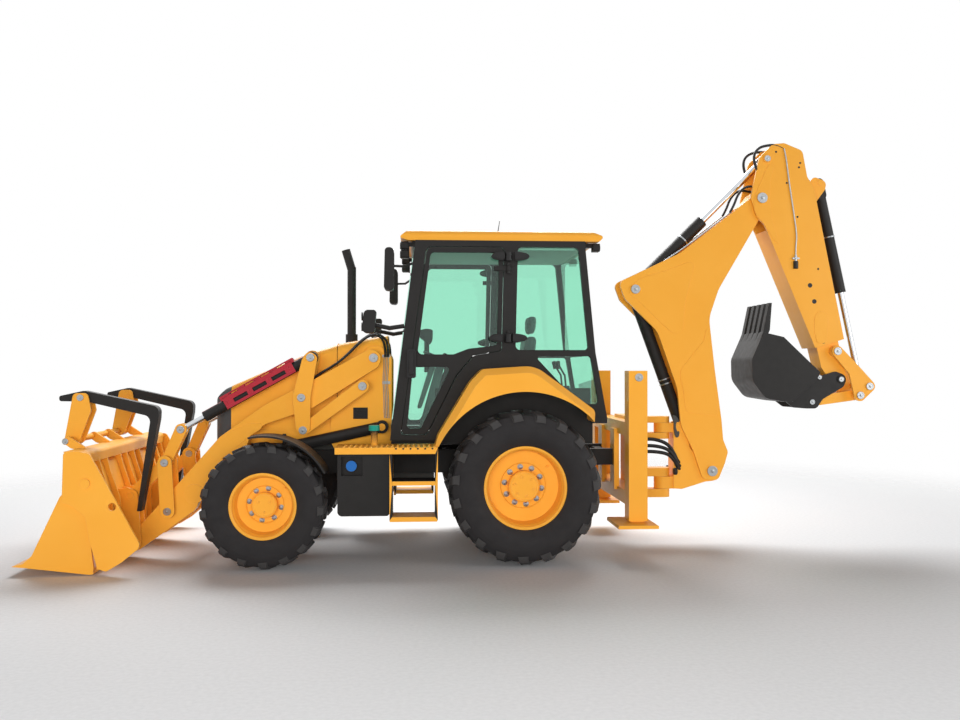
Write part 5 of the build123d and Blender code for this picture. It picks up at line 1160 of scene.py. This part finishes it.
bm = bmesh.new()
block(bm, SEAT_BOX, 20, 3, 150)
for z in (1120, 1180, 1240, 1300):
    prism(bm, oblong(-66, z, 166, z + 26), -156, 156, MIDDLE)
block(bm, COLUMN, 22, 3, 60)
block(bm, COLUMN_COVER, 20, 3, 110)
block(bm, LEVER_TOWER, 30, 4, 230)
controls = piece("controls_housing", bm, [CAB_TRIM], "chassis", bevel_mm=8)

bm = bmesh.new()
wheel = facing(WHEEL_CENTRE, WHEEL_AXIS, LEFT)
rim = [(13 * math.sin(a), WHEEL_RADIUS + 13 * math.cos(a)) for a in (2 * math.pi * i / 14 for i in range(15))]
lathe(bm, rim, wheel, 64)
lathe(bm, [(-40, 30), (-14, 34), (-8, 56), (6, 58), (12, 48), (14, 0)], wheel, 40)
for i in range(3):
    spoke = wheel @ Matrix.Rotation(2 * math.pi * i / 3 + math.pi / 2, 4, "Z")
    prism(bm, [(40, -18), (150, -12), (186, -16), (186, 16), (150, 12), (40, 18)], -7, 5, spoke)
knob = wheel @ Matrix.Translation((0, 0.178, 0))
lathe(bm, [(0, 9), (26, 9), (28, 20), (44, 25), (58, 18), (62, 0)], knob, 24)
steering = piece("steering_wheel", bm, [BLACK_ABS], "chassis", bevel_mm=1.5)

bm = bmesh.new()
block(bm, POD, 18, 3, 150)
prism(bm, [(800, 1640), (850, 1640), (850, 1960), (805, 1930)], -45, 45, MIDDLE)
piece("instrument_pod", bm, [BLACK_ABS], "chassis", bevel_mm=6)

BOOT = [(0, 46), (16, 40), (22, 42), (38, 33), (44, 35), (60, 26), (66, 27), (82, 16), (96, 12)]
LEVER_GRIP = [(0, 10), (2, 19), (18, 21), (34, 18), (48, 21), (66, 23), (76, 18), (80, 0)]
bm = bmesh.new()
for y in (-120, 120):
    lathe(bm, BOOT, facing(spot(-506, y, 1384), (0.1, 0, 1), LEFT), 24)
    lathe(bm, [(0, 9), (230, 9)], facing(spot(-503, y, 1390), (0.1, 0, 1), LEFT), 16)
    lathe(bm, [(0, 9), (116, 9)], facing(spot(-480, y, 1612), (0.51, 0, 0.86), LEFT), 16)
    lathe(bm, LEVER_GRIP, facing(spot(-426, y, 1672), (0.2, 0, 1), LEFT), 24)
levers = piece("backhoe_levers", bm, [BLACK_ABS], "chassis", bevel_mm=1)
for made in (controls, steering, levers, *seat_pads):
    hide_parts("operator_station")
print("controls made")

# %% [markdown]
# ## Red safety brace
# When the arms are worked on while raised, a red channel is clamped over the tilt ram's rod so that it
# can't close. For driving it is stored on the barrel, lipped side in, with slots that show the ram.

# %% Red safety brace
BRACE_Y = 450
BRACE_FROM, BRACE_TO = 175, 862
bm = bmesh.new()
brace_turn = math.atan2(TILT_RAM_SLOPE, 1)
brace = side_view(TILT_PIN[0], BRACE_Y, TILT_PIN[1], 1) @ Matrix.Rotation(brace_turn, 4, "Z")
for low, high in ((-58, -54), (54, 58)):
    for lower, upper in ((-44, -18), (18, 62)):
        prism(bm, oblong(BRACE_FROM, lower, BRACE_TO, upper), low, high, brace)
    for start, end in ((BRACE_FROM, 260), (395, 450), (585, 640), (775, BRACE_TO)):
        prism(bm, oblong(start, -18, end, 18), low, high, brace)
for start, end in ((BRACE_FROM, 255), (350, 400), (520, 570), (690, 740), (810, BRACE_TO)):
    prism(bm, oblong(start, 58, end, 63), -58, 58, brace)
for place_x in (215, 840):
    bolt(bm, brace @ Matrix.Translation((place_x / 1000, 0.02, 0.058)), 9)
piece("safety_brace", bm, [RED_ENAMEL], "tilt_barrels", bevel_mm=1.5)
print("safety brace made")

# %% [markdown]
# ## Roof lining and aerial
# Through the windows a pale roof lining shows above the driver's head: pressed felt on a moulded board. A
# thin aerial stands on the roof, a whip of sprung steel in a rubber foot.

# %% Roof lining and aerial
LINING = skin("roof_lining", "#B4B8B6", "#C6CAC8", "#D2D5D3", 4, 0.8, (0.8, 0.92), cloud_mm=90, IOR=1.45)
LINING_SIDE = [(-640, 2800), (980, 2800), (960, 2752), (860, 2738), (-520, 2738), (-620, 2756)]
bm = bmesh.new()
block(bm, LINING_SIDE, 20, 3, 600)
piece("roof_lining", bm, [LINING], "chassis", bevel_mm=6)
bm = bmesh.new()
foot = facing(spot(160, 0, 2897), (-0.16, 0, 1), LEFT)
lathe(bm, [(-6, 0), (-6, 22), (8, 22), (14, 12), (34, 8), (36, 5), (110, 4.2), (190, 3)], foot, 20)
lathe(bm, [(188, 3), (189, 4.5), (194, 4.5), (196, 0)], foot, 20)
piece("aerial", bm, [BLACK_ABS], "chassis")
print("roof lining and aerial made")
